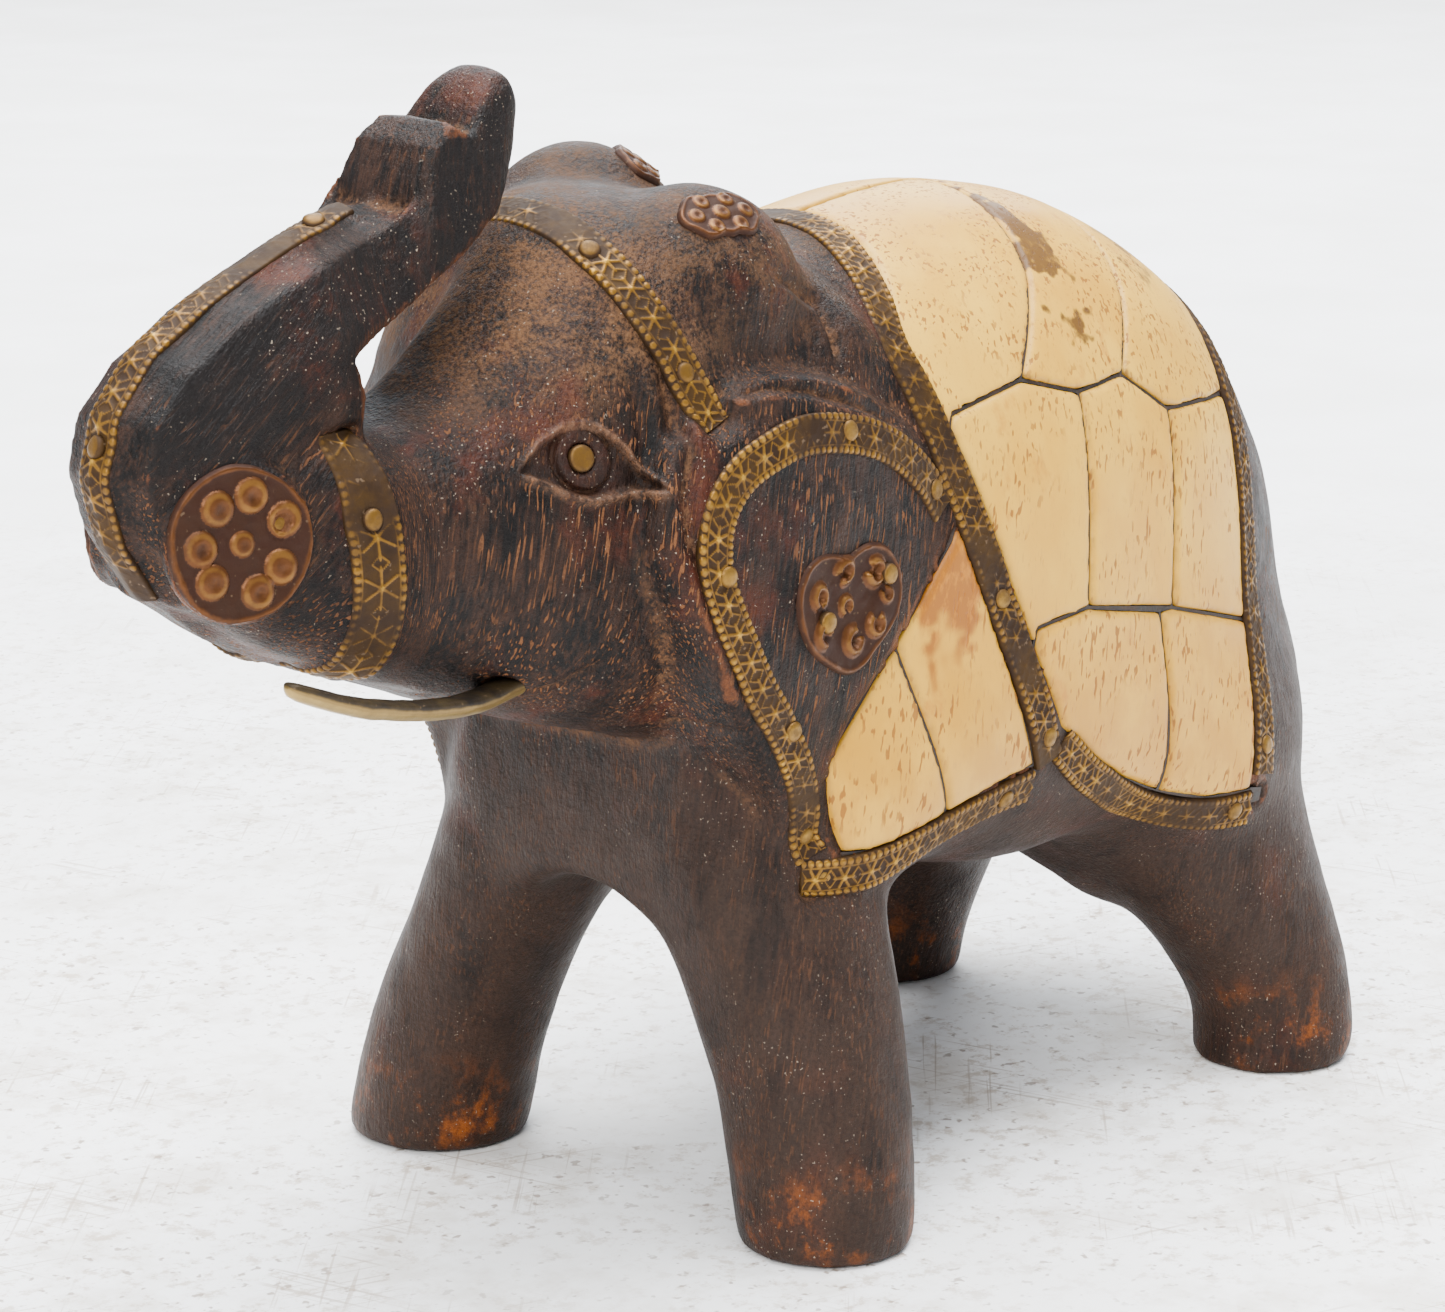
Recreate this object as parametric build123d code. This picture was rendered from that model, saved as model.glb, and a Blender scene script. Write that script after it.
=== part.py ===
from build123d import *
import os

os.makedirs("parts", exist_ok=True)

# A carved wooden elephant with a trunk raised over its head, inlaid with bone tiles and brass.
# Lengths are in millimetres. x runs from the trunk to the tail, y from left to right, z up.
# It is drawn from the middle of its saddle, then moved so that the origin lies under the middle of its box.
ORIGIN_SHIFT = (0.144, 0, 0)

# Each torso station is (x, top z, half width and its z, low half width and its z, bottom z).
TORSO_STATIONS = [
    (-20, 66, 9.5, 50, 12.0, 36, 28),
    (-15, 73, 15.0, 49, 18.8, 31, 20),
    (-8, 78, 19.4, 48, 21.8, 31, 20),
    (3, 80.2, 22.0, 46, 22.8, 34, 25.5),
    (16, 81.6, 23.2, 45, 22.6, 32, 24),
    (29, 81.2, 23.2, 44, 22.8, 30, 23.5),
    (40, 78.4, 22.8, 43, 24.0, 25, 15),
    (50, 73.0, 20.6, 43, 23.6, 23, 14),
    (60, 63.5, 16.2, 42, 19.0, 27, 20),
    (67, 52, 11.0, 41, 12.5, 31, 26),
]
TORSO_REAR = (71, 39)
HEAD_STATIONS = [
    (-66, 73.5, 5.6, 66, 5.4, 63, 60.5),
    (-60, 74.0, 7.6, 65, 7.2, 60, 57.0),
    (-53, 72.6, 9.4, 64, 8.6, 57, 53.6),
    (-45, 72.0, 11.4, 63, 10.0, 54, 50.4),
    (-38, 75.6, 13.6, 61, 11.8, 52, 47.6),
    (-29, 83.4, 15.8, 62, 13.4, 49, 44.5),
    (-19, 86.6, 17.2, 62, 14.8, 47, 41.5),
    (-8, 83.5, 18.2, 60, 16.0, 46, 38),
    (4, 78.0, 18.0, 58, 16.0, 46, 36),
]
# Leg stations are (z, x, y, radius along x, radius along y). No two legs are carved quite alike.
LEGS = {
    "front_left": [
        (0, -13.0, -21.4, 7.3, 7.3),
        (8, -12.3, -20.2, 7.9, 7.8),
        (17, -11.8, -17.8, 8.7, 8.4),
        (28, -10.8, -13.4, 10.2, 9.2),
        (38, -9.0, -11.0, 10.2, 9.0),
    ],
    "front_right": [
        (0, -13.6, 22.2, 7.8, 8.0),
        (8, -13.0, 20.6, 8.0, 8.0),
        (17, -12.2, 17.4, 8.2, 8.0),
        (28, -10.4, 12.6, 9.4, 8.6),
        (38, -8.6, 10.4, 10.0, 8.8),
    ],
    "hind_left": [
        (0, 51.0, -22.8, 7.4, 7.4),
        (8, 52.0, -20.8, 8.3, 8.0),
        (16, 49.8, -17.2, 11.5, 9.2),
        (27, 47.0, -13.7, 14.2, 10.0),
        (38, 45.0, -11.0, 14.0, 10.0),
    ],
    "hind_right": [
        (0, 48.6, 20.8, 7.4, 7.3),
        (8, 49.0, 19.8, 8.2, 8.0),
        (16, 48.6, 17.2, 10.0, 9.2),
        (27, 46.6, 13.7, 12.6, 10.0),
        (38, 45.0, 11.0, 14.0, 10.0),
    ],
}
# The trunk is a sawn outline in the x-z plane, from its underside round the bend to the tip and back.
TRUNK_FRONT = [
    (-47, 50.6), (-54.5, 53.6), (-61.2, 56.7), (-66.5, 60.7), (-69.8, 65.4), (-71.2, 70.5),
    (-69.9, 75.0), (-66.2, 79.0), (-60, 82.3), (-52.5, 85.2), (-45.2, 87.5),
]
TRUNK_STRIP_START = 3
TRUNK_KNUCKLE = [(-42.0, 89.4), (-40.6, 92.2), (-38.0, 93.9), (-36.0, 92.8)]
TRUNK_TIP = [(-34.0, 95.8), (-31.4, 97.5), (-29.6, 96.8), (-29.0, 94.4)]
TRUNK_BACK = [
    (-30.8, 89.8), (-33.2, 86.6), (-37.2, 83.8), (-44.4, 79.9), (-49.0, 76.6), (-49.5, 68.0), (-46.0, 60.0),
]
# Seen from the front the trunk narrows towards its tip, most on the right: points are (y, z).
TRUNK_FRONT_VIEW = [
    (-8, 40), (8, 40), (8, 80), (4.2, 89), (3.0, 95),
    (1.4, 99), (-3.0, 99), (-4.6, 95), (-5.2, 90), (-8, 80),
]
# Each level of the trunk's rounding is (distance from the middle plane, inset of the front outline).
TRUNK_LEVELS = [(6.4, 6.6), (4.2, 1.3)]
TIP_INSET_SHARE = 0.25
# Arches between the legs are (first x, last x, half width, top z).
ARCHES = [(-40, 4, 9.5, 28.5), (30, 90, 8.5, 21.0)]
# An ear is the part of a shallow dome that lies within its outline.
EAR_CENTER = (-10, -5, 52)
EAR_RADII = (36, 16.5, 36)
EAR_OUTLINE = [
    (-29.5, 64), (-24.5, 70), (-16, 72.5), (-7, 70.5), (0.5, 66), (5, 58.5), (3.5, 56), (-3.6, 48.8),
    (-11.4, 40.5), (-11.6, 36), (-11.4, 31), (-15.6, 30.5), (-16.8, 36), (-19.8, 42), (-24.5, 49),
    (-28.3, 56),
]
EAR_ROOT_Y = -8
# The crown is carved as two domes, the right one a little taller: (centre, radii).
DOMES = {"left": ((-13.5, -7.0, 77.0), (10.5, 8.5, 9.8)), "right": ((-11.5, 6.5, 78.2), (10.5, 8.5, 10.6))}

# How far the inlays stand above the wood, and how deep their pockets are.
STRIP_PROUD = 0.35
STRIP_DEPTH = 0.4
TILE_PROUD = 0.4
TILE_DEPTH = 1.5
BED_DEPTH = 2.0
JOINT_GAP = 0.3
REACH = 45.0

# Strip centre lines are (x, z, half width) on the left flank.
SADDLE_FRONT_LINE = [
    (7.2, 86, 1.7), (7.2, 81.0, 1.7), (5.2, 78.2, 1.7), (2.4, 72.5, 1.7),
    (4.2, 63.6, 1.7), (9.0, 50.6, 1.7), (13.6, 38.0, 1.7), (14.6, 34.9, 1.7),
]
SADDLE_REAR_LINE = [
    (53.0, 78, 1.6), (52.8, 70.5, 1.6), (50.2, 66.5, 1.6), (48.9, 61, 1.7),
    (48.4, 52, 1.7), (46.8, 40, 1.7), (45.0, 29.5, 1.7), (44.6, 27.2, 1.7),
]
SADDLE_HEM_LINE = [
    (16.2, 36.6, 1.6), (19.5, 33.6, 1.6), (25.0, 30.4, 1.6),
    (31.0, 27.7, 1.6), (37.0, 26.0, 1.6), (42.8, 25.6, 1.6),
]
EAR_STRIP_LINE = [
    (3.4, 58.8, 1.6), (0.6, 62.2, 1.6), (-4.9, 65.8, 1.7), (-11.5, 67.6, 1.7), (-17.5, 67.3, 1.7),
    (-22.6, 64.8, 1.7), (-25.0, 60.6, 1.7), (-24.4, 55.6, 1.7), (-21.4, 49.4, 1.7), (-17.6, 43.6, 1.7),
    (-14.9, 38.4, 1.7), (-13.5, 33.4, 1.7),
]
SHOULDER_LINE = [(-15.2, 31.0, 1.7), (-8.0, 31.0, 1.7), (1.0, 32.4, 1.7), (12.6, 34.0, 1.7)]
HEAD_BAND_LINE = [
    (-21.6, 68.8, 1.8), (-23.3, 73.3, 1.8), (-25.2, 78.4, 1.8), (-26.4, 82.8, 1.8), (-26.6, 90, 1.8),
]
STRAP_LINE = [(-52.2, 53.0, 2.4), (-52.3, 72.2, 2.4)]
TRUNK_STRIP_HALF_WIDTH = 1.7

# Bone tile outlines in the x-z plane. The ones that reach the spine run up past it.
SADDLE_TILES = [
    [(7.5, 86), (7.5, 81), (3.5, 72.5), (5.4, 64.4), (6.4, 66.2), (15.8, 67.8), (22.5, 75.5), (28, 86)],
    [(28, 86), (22.5, 75.5), (15.8, 67.8), (22.8, 65.9), (29.9, 66.3), (35.5, 73.0), (42, 86)],
    [(42, 86), (35.5, 73.0), (29.9, 66.3), (35.7, 62.6), (47.3, 62), (49, 67.5), (51.5, 71), (51.5, 86)],
    [(6.4, 66.2), (5.4, 64.4), (12.6, 45.6), (13.3, 47.4), (20.1, 48.0), (22.8, 65.9), (15.8, 67.8)],
    [(22.8, 65.9), (20.1, 48.0), (33.1, 45.6), (35.7, 62.6), (29.9, 66.3)],
    [(35.7, 62.6), (33.1, 45.6), (45.7, 42.1), (47.2, 53), (47.3, 62)],
    [
        (13.3, 47.4), (12.6, 45.6), (15.6, 38.4), (19.6, 35.2),
        (25.2, 31.9), (31.2, 29.3), (31.2, 45.7), (20.1, 48.0),
    ],
    [(33.1, 45.6), (31.2, 45.7), (31.2, 29.3), (37.2, 27.6), (43.3, 27.2), (43.4, 29.5), (45.7, 42.1)],
]
SHOULDER_TILES = [
    [(-3.5, 48.9), (0.7, 33.9), (-8.0, 32.5), (-11.6, 32.8), (-12.2, 36.8), (-12.8, 39.2)],
    [(3.9, 56.3), (-3.5, 48.9), (0.7, 33.9), (12.2, 35.8), (7.3, 50.5), (4.6, 57.8)],
]
SADDLE_OUTLINE = [
    (7.2, 86), (7.2, 81.0), (5.2, 78.2), (2.4, 72.5), (4.2, 63.6), (9.0, 50.6), (13.6, 38.0), (16.2, 36.6),
    (19.5, 33.6), (25.0, 30.4), (31.0, 27.7), (37.0, 26.0), (44.8, 25.9), (46.8, 40), (48.4, 52),
    (48.9, 61), (50.2, 66.5), (52.8, 70.5), (52.8, 86),
]
# The shoulder bed runs in under the ear's edge, where the ear trims it.
SHOULDER_OUTLINE = [
    (2.6, 57.4), (-4.6, 50.2), (-13.6, 40.6), (-13.2, 36.5), (-12.6, 31.3), (-8.0, 31.0), (1.0, 32.4),
    (12.6, 34.0), (13.6, 38.0), (9.0, 50.6), (5.9, 58.8),
]

# Ornaments: places are (x, z) on each side, and the right disc is the smaller one.
DISC_PLACES = {"left": (-63.2, 65.4), "right": (-61.6, 65.2)}
DISC_RADII = {"left": 6.0, "right": 5.4}
DISC_RISE = 0.4
DISC_DEPTH = 0.9
EAR_MEDALLION_PLACE = (-10.2, 54.0)
EAR_MEDALLION_RADIUS = 3.2
EAR_LOBE_RADIUS = 2.7
CROWN_MEDALLION_DIRECTIONS = {"left": (-1.2, -4.6, 7.6), "right": (4.5, -3.0, 8.8)}
CROWN_MEDALLION_RADIUS = 2.6
CROWN_LOBE_RADIUS = 2.0
MEDALLION_RISE = 0.45
MEDALLION_DEPTH = 0.6
EYE_PLACE = (-33.6, 68.1)
EYE_STUD_RADIUS = 1.15
EYE_STUD_LENGTH = 3.6
EYE_STUD_RISE = 0.6
TUSK_PATH = [(-37.0, -9.4, 50.4), (-50.0, -11.0, 51.2), (-62.6, -10.6, 55.2)]
# Along the tusk, each ring is (share of its length, radius).
TUSK_RINGS = [(0, 1.15), (0.35, 1.1), (0.7, 0.95), (1.0, 0.5)]

NAIL_HEAD_RADIUS = 0.95
NAIL_HEAD_HEIGHT = 0.95
NAIL_HEAD_ROUNDING = 0.4
NAIL_HEAD_MIDDLE = 0.2
NAIL_SHANK_RADIUS = 0.35
NAIL_LENGTH = 3.6
# Nail places are (x, z) on the left side.
EAR_NAILS = [
    (2.2, 60.7), (-9.0, 67.3), (-24.0, 58.0), (-17.0, 44.3), (-13.6, 34.6), (-5.4, 55.2), (-13.4, 52.6),
]
SADDLE_NAILS = [(9.0, 50.6), (13.7, 38.0), (41.0, 25.8), (45.4, 31.0)]
SHOULDER_NAILS = [(-12.6, 31.0), (9.0, 33.5)]
HEAD_BAND_NAILS = [(-23.4, 73.4), (-26.4, 82.6)]
STRAP_NAILS = [(-52.3, 65.7)]
DISC_NAILS = [(-60.2, 66.6), (-63.2, 61.4)]
TRUNK_NAILS = [(-48.6, 86.6), (-70.2, 72.6)]
# A ray towards each trunk nail starts this far inside the trunk, in x and z.
TRUNK_NAIL_APPROACH = (6, -3)


# ---------------------------------------------------------------- planes and flat outlines

def side_plane(y):
    """The x-z plane at y, with z of the object as its own y."""
    return Plane((0, y, 0), x_dir=(1, 0, 0), z_dir=(0, -1, 0))


def front_plane(x):
    """The y-z plane at x, with y of the object as its own x."""
    return Plane((x, 0, 0), x_dir=(0, 1, 0), z_dir=(1, 0, 0))


def polygon(points):
    return make_face(Polyline(points, close=True))


def through(face, first_y, last_y):
    """A face in the x-z plane, drawn out from first_y to last_y."""
    return extrude(side_plane(last_y) * face, last_y - first_y)


def both(solid):
    return [solid, solid.mirror(Plane.XZ)]


def band(line):
    """A flat ribbon face along a centre line of (x, z, half width) points."""
    left, right = [], []
    for i, (x, z, half) in enumerate(line):
        before = line[max(i - 1, 0)]
        after = line[min(i + 1, len(line) - 1)]
        along = Vector(after[0] - before[0], after[1] - before[1]).normalized()
        left.append((x - along.Y * half, z + along.X * half))
        right.append((x + along.Y * half, z - along.X * half))
    if len(line) == 2:
        return polygon(left + right[::-1])
    ends = [Line(left[-1], right[-1]), Line(right[0], left[0])]
    return make_face([Spline(left), ends[0], Spline(right[::-1]), ends[1]])


# ---------------------------------------------------------------- the carved block

def body_section(x, top, half, level, low_half, low_level, bottom, grow=0.0):
    """A closed cross-section at x, wide at its flank and flattened under the belly."""
    top, bottom = top + grow, bottom - grow
    half, low_half = half + grow, low_half + grow
    rise = top - level
    side = [
        (0.52 * half, top - 0.12 * rise),
        (0.87 * half, top - 0.48 * rise),
        (half, level),
        (low_half, low_level),
        (0.66 * low_half, bottom + 0.12 * (low_level - bottom)),
    ]
    other = [(-y, z) for y, z in reversed(side)]
    outline = Spline([(0, top)] + side + [(0, bottom)] + other, periodic=True)
    return front_plane(x) * make_face(outline)


def torso(grow=0.0):
    sections = [body_section(*station, grow=grow) for station in TORSO_STATIONS]
    rear = Vertex(TORSO_REAR[0] + grow, 0, TORSO_REAR[1])
    return loft(sections + [rear])


def head(grow=0.0):
    return loft([body_section(*station, grow=grow) for station in HEAD_STATIONS])


def leg(stations):
    rings = []
    for z, x, y, radius_x, radius_y in stations:
        rings.append(Plane((x, y, z)) * make_face(Ellipse(radius_x, radius_y).edge()))
    return loft(rings)


def inset_points(points, distance):
    """Move each outline point inwards, to the right of the direction of travel."""
    moved = []
    for i, (x, z) in enumerate(points):
        before = Vector(*points[max(i - 1, 0)])
        after = Vector(*points[min(i + 1, len(points) - 1)])
        along = (after - before).normalized()
        moved.append((x + along.Y * distance, z - along.X * distance))
    return moved


def trunk_outline(inset, y):
    front = inset_points(TRUNK_FRONT, inset)
    tip = inset_points(TRUNK_KNUCKLE + TRUNK_TIP, TIP_INSET_SHARE * inset)
    return side_plane(y) * polygon(front + tip + TRUNK_BACK)


def trunk(grow=0.0):
    """The sawn trunk, rounded towards both sides and narrowed as the front view shows."""
    levels = [(-y, inset) for y, inset in TRUNK_LEVELS] + [(0, 0)]
    levels += [(y, inset) for y, inset in reversed(TRUNK_LEVELS)]
    blank = loft([trunk_outline(inset - grow, y) for y, inset in levels], ruled=True)
    front_x, length = -80, 60
    return blank & extrude(front_plane(front_x) * polygon(TRUNK_FRONT_VIEW), length)


def ellipsoid(center, radii):
    return Location(center) * scale(Sphere(1), by=radii)


def ear_dish(grow=0.0):
    return ellipsoid(EAR_CENTER, tuple(float(radius + grow) for radius in EAR_RADII))


def ear_block():
    return through(make_face(Spline(EAR_OUTLINE, periodic=True)), -REACH, EAR_ROOT_Y)


def arch(first_x, last_x, half_width, top):
    wall = top - half_width
    opening = Rectangle(2 * half_width, 2 * wall) + Pos(0, wall) * Circle(half_width)
    return extrude(front_plane(first_x) * opening, last_x - first_x)


def carved_block():
    block = torso()
    for opening in ARCHES:
        block -= arch(*opening)
    lumps = [head(), trunk()] + both(ear_dish() & ear_block())
    lumps += [leg(stations) for stations in LEGS.values()]
    lumps += [ellipsoid(*dome) for dome in DOMES.values()]
    for lump in lumps:
        block += lump
    return block


# ---------------------------------------------------------------- inlays

parts = {}
pockets = []


def add_pair(name, solid, pocket):
    """Store a left part and its mirror image, with the pockets that hold them."""
    parts[name + "_left"] = solid
    parts[name + "_right"] = solid.mirror(Plane.XZ)
    pockets.extend(both(pocket))


def inlay(block, shape):
    """The strip that a block cuts from a shape's skin, and its open pocket."""
    core = shape(-STRIP_DEPTH)
    return block & (shape(STRIP_PROUD) - core), block - core


def left_ribbon(line, inner_y):
    return through(band(line), -REACH, inner_y)


def make_head_strips():
    band_block = through(band(HEAD_BAND_LINE), -REACH, REACH)
    parts["head_band"], pocket = inlay(band_block, head)
    pockets.append(pocket)
    strap_inner_y = -3
    add_pair("trunk_strap", *inlay(left_ribbon(STRAP_LINE, strap_inner_y), head))
    reach = 2.4
    trunk_line = [(x, z, reach) for x, z in TRUNK_FRONT[TRUNK_STRIP_START:]]
    trunk_block = through(band(trunk_line), -TRUNK_STRIP_HALF_WIDTH, TRUNK_STRIP_HALF_WIDTH)
    parts["trunk_strip"], pocket = inlay(trunk_block, trunk)
    pockets.append(pocket)


def make_body_strips(front_block, rear_block, hem_block, shoulder_block, ear_ribbon):
    for name, block in (("saddle_front_strip", front_block), ("saddle_rear_strip", rear_block)):
        parts[name], pocket = inlay(block, torso)
        pockets.append(pocket)
    add_pair("saddle_hem_strip", *inlay(hem_block, torso))
    add_pair("shoulder_strip", *inlay(shoulder_block, torso))
    add_pair("ear_strip", *inlay(ear_ribbon, ear_dish))


def make_bone(name, outlines, bed_outline, neighbours):
    """Bone tiles with open joints, and the lac bed that fills the pocket around them."""
    tile_skin = torso(TILE_PROUD) - torso(-TILE_DEPTH)
    tile_blocks = []
    for outline in outlines:
        face = offset(polygon(outline), -JOINT_GAP / 2, kind=Kind.INTERSECTION)
        tile_blocks.append(through(face, -REACH, -JOINT_GAP / 2))
    bed_block = through(polygon(bed_outline), -REACH, 0)
    for neighbour in neighbours:
        tile_blocks = [block - neighbour for block in tile_blocks]
        bed_block -= neighbour
    core = torso(-BED_DEPTH)
    filler = bed_block & (torso() - core)
    for i, block in enumerate(tile_blocks, 1):
        tile = block & tile_skin
        filler -= tile
        parts[f"{name}_bone_left_{i}"] = tile
        parts[f"{name}_bone_right_{i}"] = tile.mirror(Plane.XZ)
    add_pair(f"{name}_lac_bed", filler, bed_block - core)


def make_strips_and_bone():
    front_block = through(band(SADDLE_FRONT_LINE), -REACH, REACH)
    rear_block = through(band(SADDLE_REAR_LINE), -REACH, REACH)
    inner_y = -5
    hem_block = left_ribbon(SADDLE_HEM_LINE, inner_y) - front_block - rear_block
    shoulder_block = left_ribbon(SHOULDER_LINE, inner_y) - front_block
    ear_ribbon = left_ribbon(EAR_STRIP_LINE, EAR_ROOT_Y) - shoulder_block - front_block
    make_body_strips(front_block, rear_block, hem_block, shoulder_block, ear_ribbon)
    make_bone("saddle", SADDLE_TILES, SADDLE_OUTLINE, [front_block, rear_block, hem_block])
    make_bone("shoulder", SHOULDER_TILES, SHOULDER_OUTLINE, [front_block, shoulder_block, ear_block()])


# ---------------------------------------------------------------- ornaments and nails

def surface_plane(shape, x, z):
    """The plane that touches a shape's left side at x, z."""
    outside_y = -60
    point, normal = shape.find_intersection_points(Axis((x, outside_y, z), (0, 1, 0)))[0]
    return Plane(point, z_dir=-normal if normal.Y > 0 else normal)


def outward_plane(shape, center, direction):
    """The plane that touches a shape where a ray from its centre leaves it."""
    point, normal = shape.find_intersection_points(Axis(center, direction))[-1]
    return Plane(point, z_dir=-normal if normal.dot(Vector(*direction)) < 0 else normal)


def rosette(plane, radius, lobes, lobe_radius, rise, depth):
    """A raised brass ornament, a disc with round lobes, and the pocket that holds it."""
    outline = Circle(radius)
    if lobes:
        for place in PolarLocations(lobe_radius, lobes):
            outline += place * Circle(lobe_radius)
    bottom = plane.offset(-depth) * outline
    clearance_height = 8
    return extrude(bottom, depth + rise), extrude(bottom, clearance_height)


def make_ornaments(head_skin):
    for side in ("left", "right"):
        plane = surface_plane(head_skin, *DISC_PLACES[side])
        pair = rosette(plane, DISC_RADII[side], 0, 0, DISC_RISE, DISC_DEPTH)
        if side == "right":
            pair = [solid.mirror(Plane.XZ) for solid in pair]
        parts[f"trunk_disc_{side}"] = pair[0]
        pockets.append(pair[1])
    plane = surface_plane(ear_dish(), *EAR_MEDALLION_PLACE)
    lobes = 3
    add_pair(
        "ear_medallion",
        *rosette(plane, EAR_MEDALLION_RADIUS, lobes, EAR_LOBE_RADIUS, MEDALLION_RISE, MEDALLION_DEPTH),
    )
    lobes = 2
    for side, (center, radii) in DOMES.items():
        plane = outward_plane(ellipsoid(center, radii), center, CROWN_MEDALLION_DIRECTIONS[side])
        plate, pocket = rosette(
            plane, CROWN_MEDALLION_RADIUS, lobes, CROWN_LOBE_RADIUS, MEDALLION_RISE, MEDALLION_DEPTH
        )
        parts[f"crown_medallion_{side}"] = plate
        pockets.append(pocket)


def make_eyes(head_skin):
    middle = EYE_STUD_RISE - EYE_STUD_LENGTH / 2
    stud = Pos(0, 0, middle) * Cylinder(EYE_STUD_RADIUS, EYE_STUD_LENGTH)
    stud = surface_plane(head_skin, *EYE_PLACE) * stud
    add_pair("eye_stud", stud, stud)


def make_tusk():
    """The left tusk. No right tusk is made, and the socket that one would fill is left open."""
    path = ThreePointArc(*TUSK_PATH)
    rings = [Plane(path @ share, z_dir=path % share) * Circle(radius) for share, radius in TUSK_RINGS]
    parts["tusk_left"] = loft(rings)
    pockets.extend(both(parts["tusk_left"]))


def nail(plane):
    cap = Pos(0, 0, NAIL_HEAD_MIDDLE) * Cylinder(NAIL_HEAD_RADIUS, NAIL_HEAD_HEIGHT)
    cap = fillet(cap.edges().sort_by(Axis.Z)[-1], NAIL_HEAD_ROUNDING)
    shank = Pos(0, 0, -NAIL_LENGTH / 2) * Cylinder(NAIL_SHANK_RADIUS, NAIL_LENGTH)
    return plane * (cap + shank)


def make_nails(torso_skin, head_skin):
    groups = {
        "ear_nails": (ear_dish(), EAR_NAILS),
        "saddle_nails": (torso_skin, SADDLE_NAILS),
        "shoulder_nails": (torso_skin, SHOULDER_NAILS),
        "head_band_nails": (head_skin, HEAD_BAND_NAILS),
        "trunk_strap_nails": (head_skin, STRAP_NAILS),
        "trunk_disc_nails": (head_skin, DISC_NAILS),
    }
    for name, (shape, places) in groups.items():
        group = Compound([nail(surface_plane(shape, x, z)) for x, z in places])
        add_pair(name, group, group)
    trunk_skin = trunk()
    inward_x, inward_z = TRUNK_NAIL_APPROACH
    trunk_nails = []
    for x, z in TRUNK_NAILS:
        start = (x + inward_x, 0, z + inward_z)
        trunk_nails.append(nail(outward_plane(trunk_skin, start, (-inward_x, 0, -inward_z))))
    parts["trunk_strip_nails"] = Compound(trunk_nails)
    pockets.append(parts["trunk_strip_nails"])


def drill_for_nails():
    """Each nail passes through the brass that it holds."""
    nailed = {
        "trunk_strip": ["trunk_strip_nails"],
        "head_band": ["head_band_nails_left", "head_band_nails_right"],
        "saddle_front_strip": ["saddle_nails_left", "saddle_nails_right"],
        "saddle_rear_strip": ["saddle_nails_left", "saddle_nails_right"],
    }
    for side in ("left", "right"):
        nailed[f"saddle_hem_strip_{side}"] = [f"saddle_nails_{side}"]
        nailed[f"trunk_strap_{side}"] = [f"trunk_strap_nails_{side}"]
        nailed[f"shoulder_strip_{side}"] = [f"shoulder_nails_{side}"]
        nailed[f"ear_strip_{side}"] = [f"ear_nails_{side}"]
        nailed[f"ear_medallion_{side}"] = [f"ear_nails_{side}"]
        nailed[f"trunk_disc_{side}"] = [f"trunk_disc_nails_{side}"]
    for name, groups in nailed.items():
        for group in groups:
            parts[name] = parts[name] - parts[group]


def main():
    torso_skin = torso()
    head_skin = head()
    make_head_strips()
    make_strips_and_bone()
    make_ornaments(head_skin)
    make_eyes(head_skin)
    make_tusk()
    make_nails(torso_skin, head_skin)
    drill_for_nails()
    parts["carved_body"] = carved_block() - pockets
    for name, solid in parts.items():
        export_step(Pos(*ORIGIN_SHIFT) * solid, f"parts/{name}.step")


main()
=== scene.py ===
from itertools import product
from math import atan2, cos, pi, radians, sin

import bmesh
import bpy
import numpy as np
from mathutils import Matrix, Vector, bvhtree


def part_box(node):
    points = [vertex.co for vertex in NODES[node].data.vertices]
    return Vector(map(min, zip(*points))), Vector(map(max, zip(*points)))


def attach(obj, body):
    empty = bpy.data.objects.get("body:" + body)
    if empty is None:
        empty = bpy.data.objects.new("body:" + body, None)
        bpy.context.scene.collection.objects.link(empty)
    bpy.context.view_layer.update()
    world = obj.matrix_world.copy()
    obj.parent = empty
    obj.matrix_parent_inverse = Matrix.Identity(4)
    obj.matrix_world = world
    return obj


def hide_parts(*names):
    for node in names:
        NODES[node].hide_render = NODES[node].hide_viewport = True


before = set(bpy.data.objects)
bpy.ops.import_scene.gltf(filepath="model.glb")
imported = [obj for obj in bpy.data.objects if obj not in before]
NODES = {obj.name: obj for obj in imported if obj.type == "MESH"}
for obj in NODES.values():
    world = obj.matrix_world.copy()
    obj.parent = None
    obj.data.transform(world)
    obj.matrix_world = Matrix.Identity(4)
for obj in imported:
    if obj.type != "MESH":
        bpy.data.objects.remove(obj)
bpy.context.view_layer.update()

# Everything below is in millimetres until it becomes a mesh. The elephant faces -x, z is up,
# and its left side, towards the camera, is -y.
MM = 0.001
SIDES = {"left": -1, "right": 1}
# The model's own drawing starts this far behind its frame's origin.
SHIFT = 0.144
SKIN_VOXEL = 0.38
INLAY_VOXEL = 0.5
TILE_VOXEL = 0.3
MOST_WOOD_TRIANGLES = 196000

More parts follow.
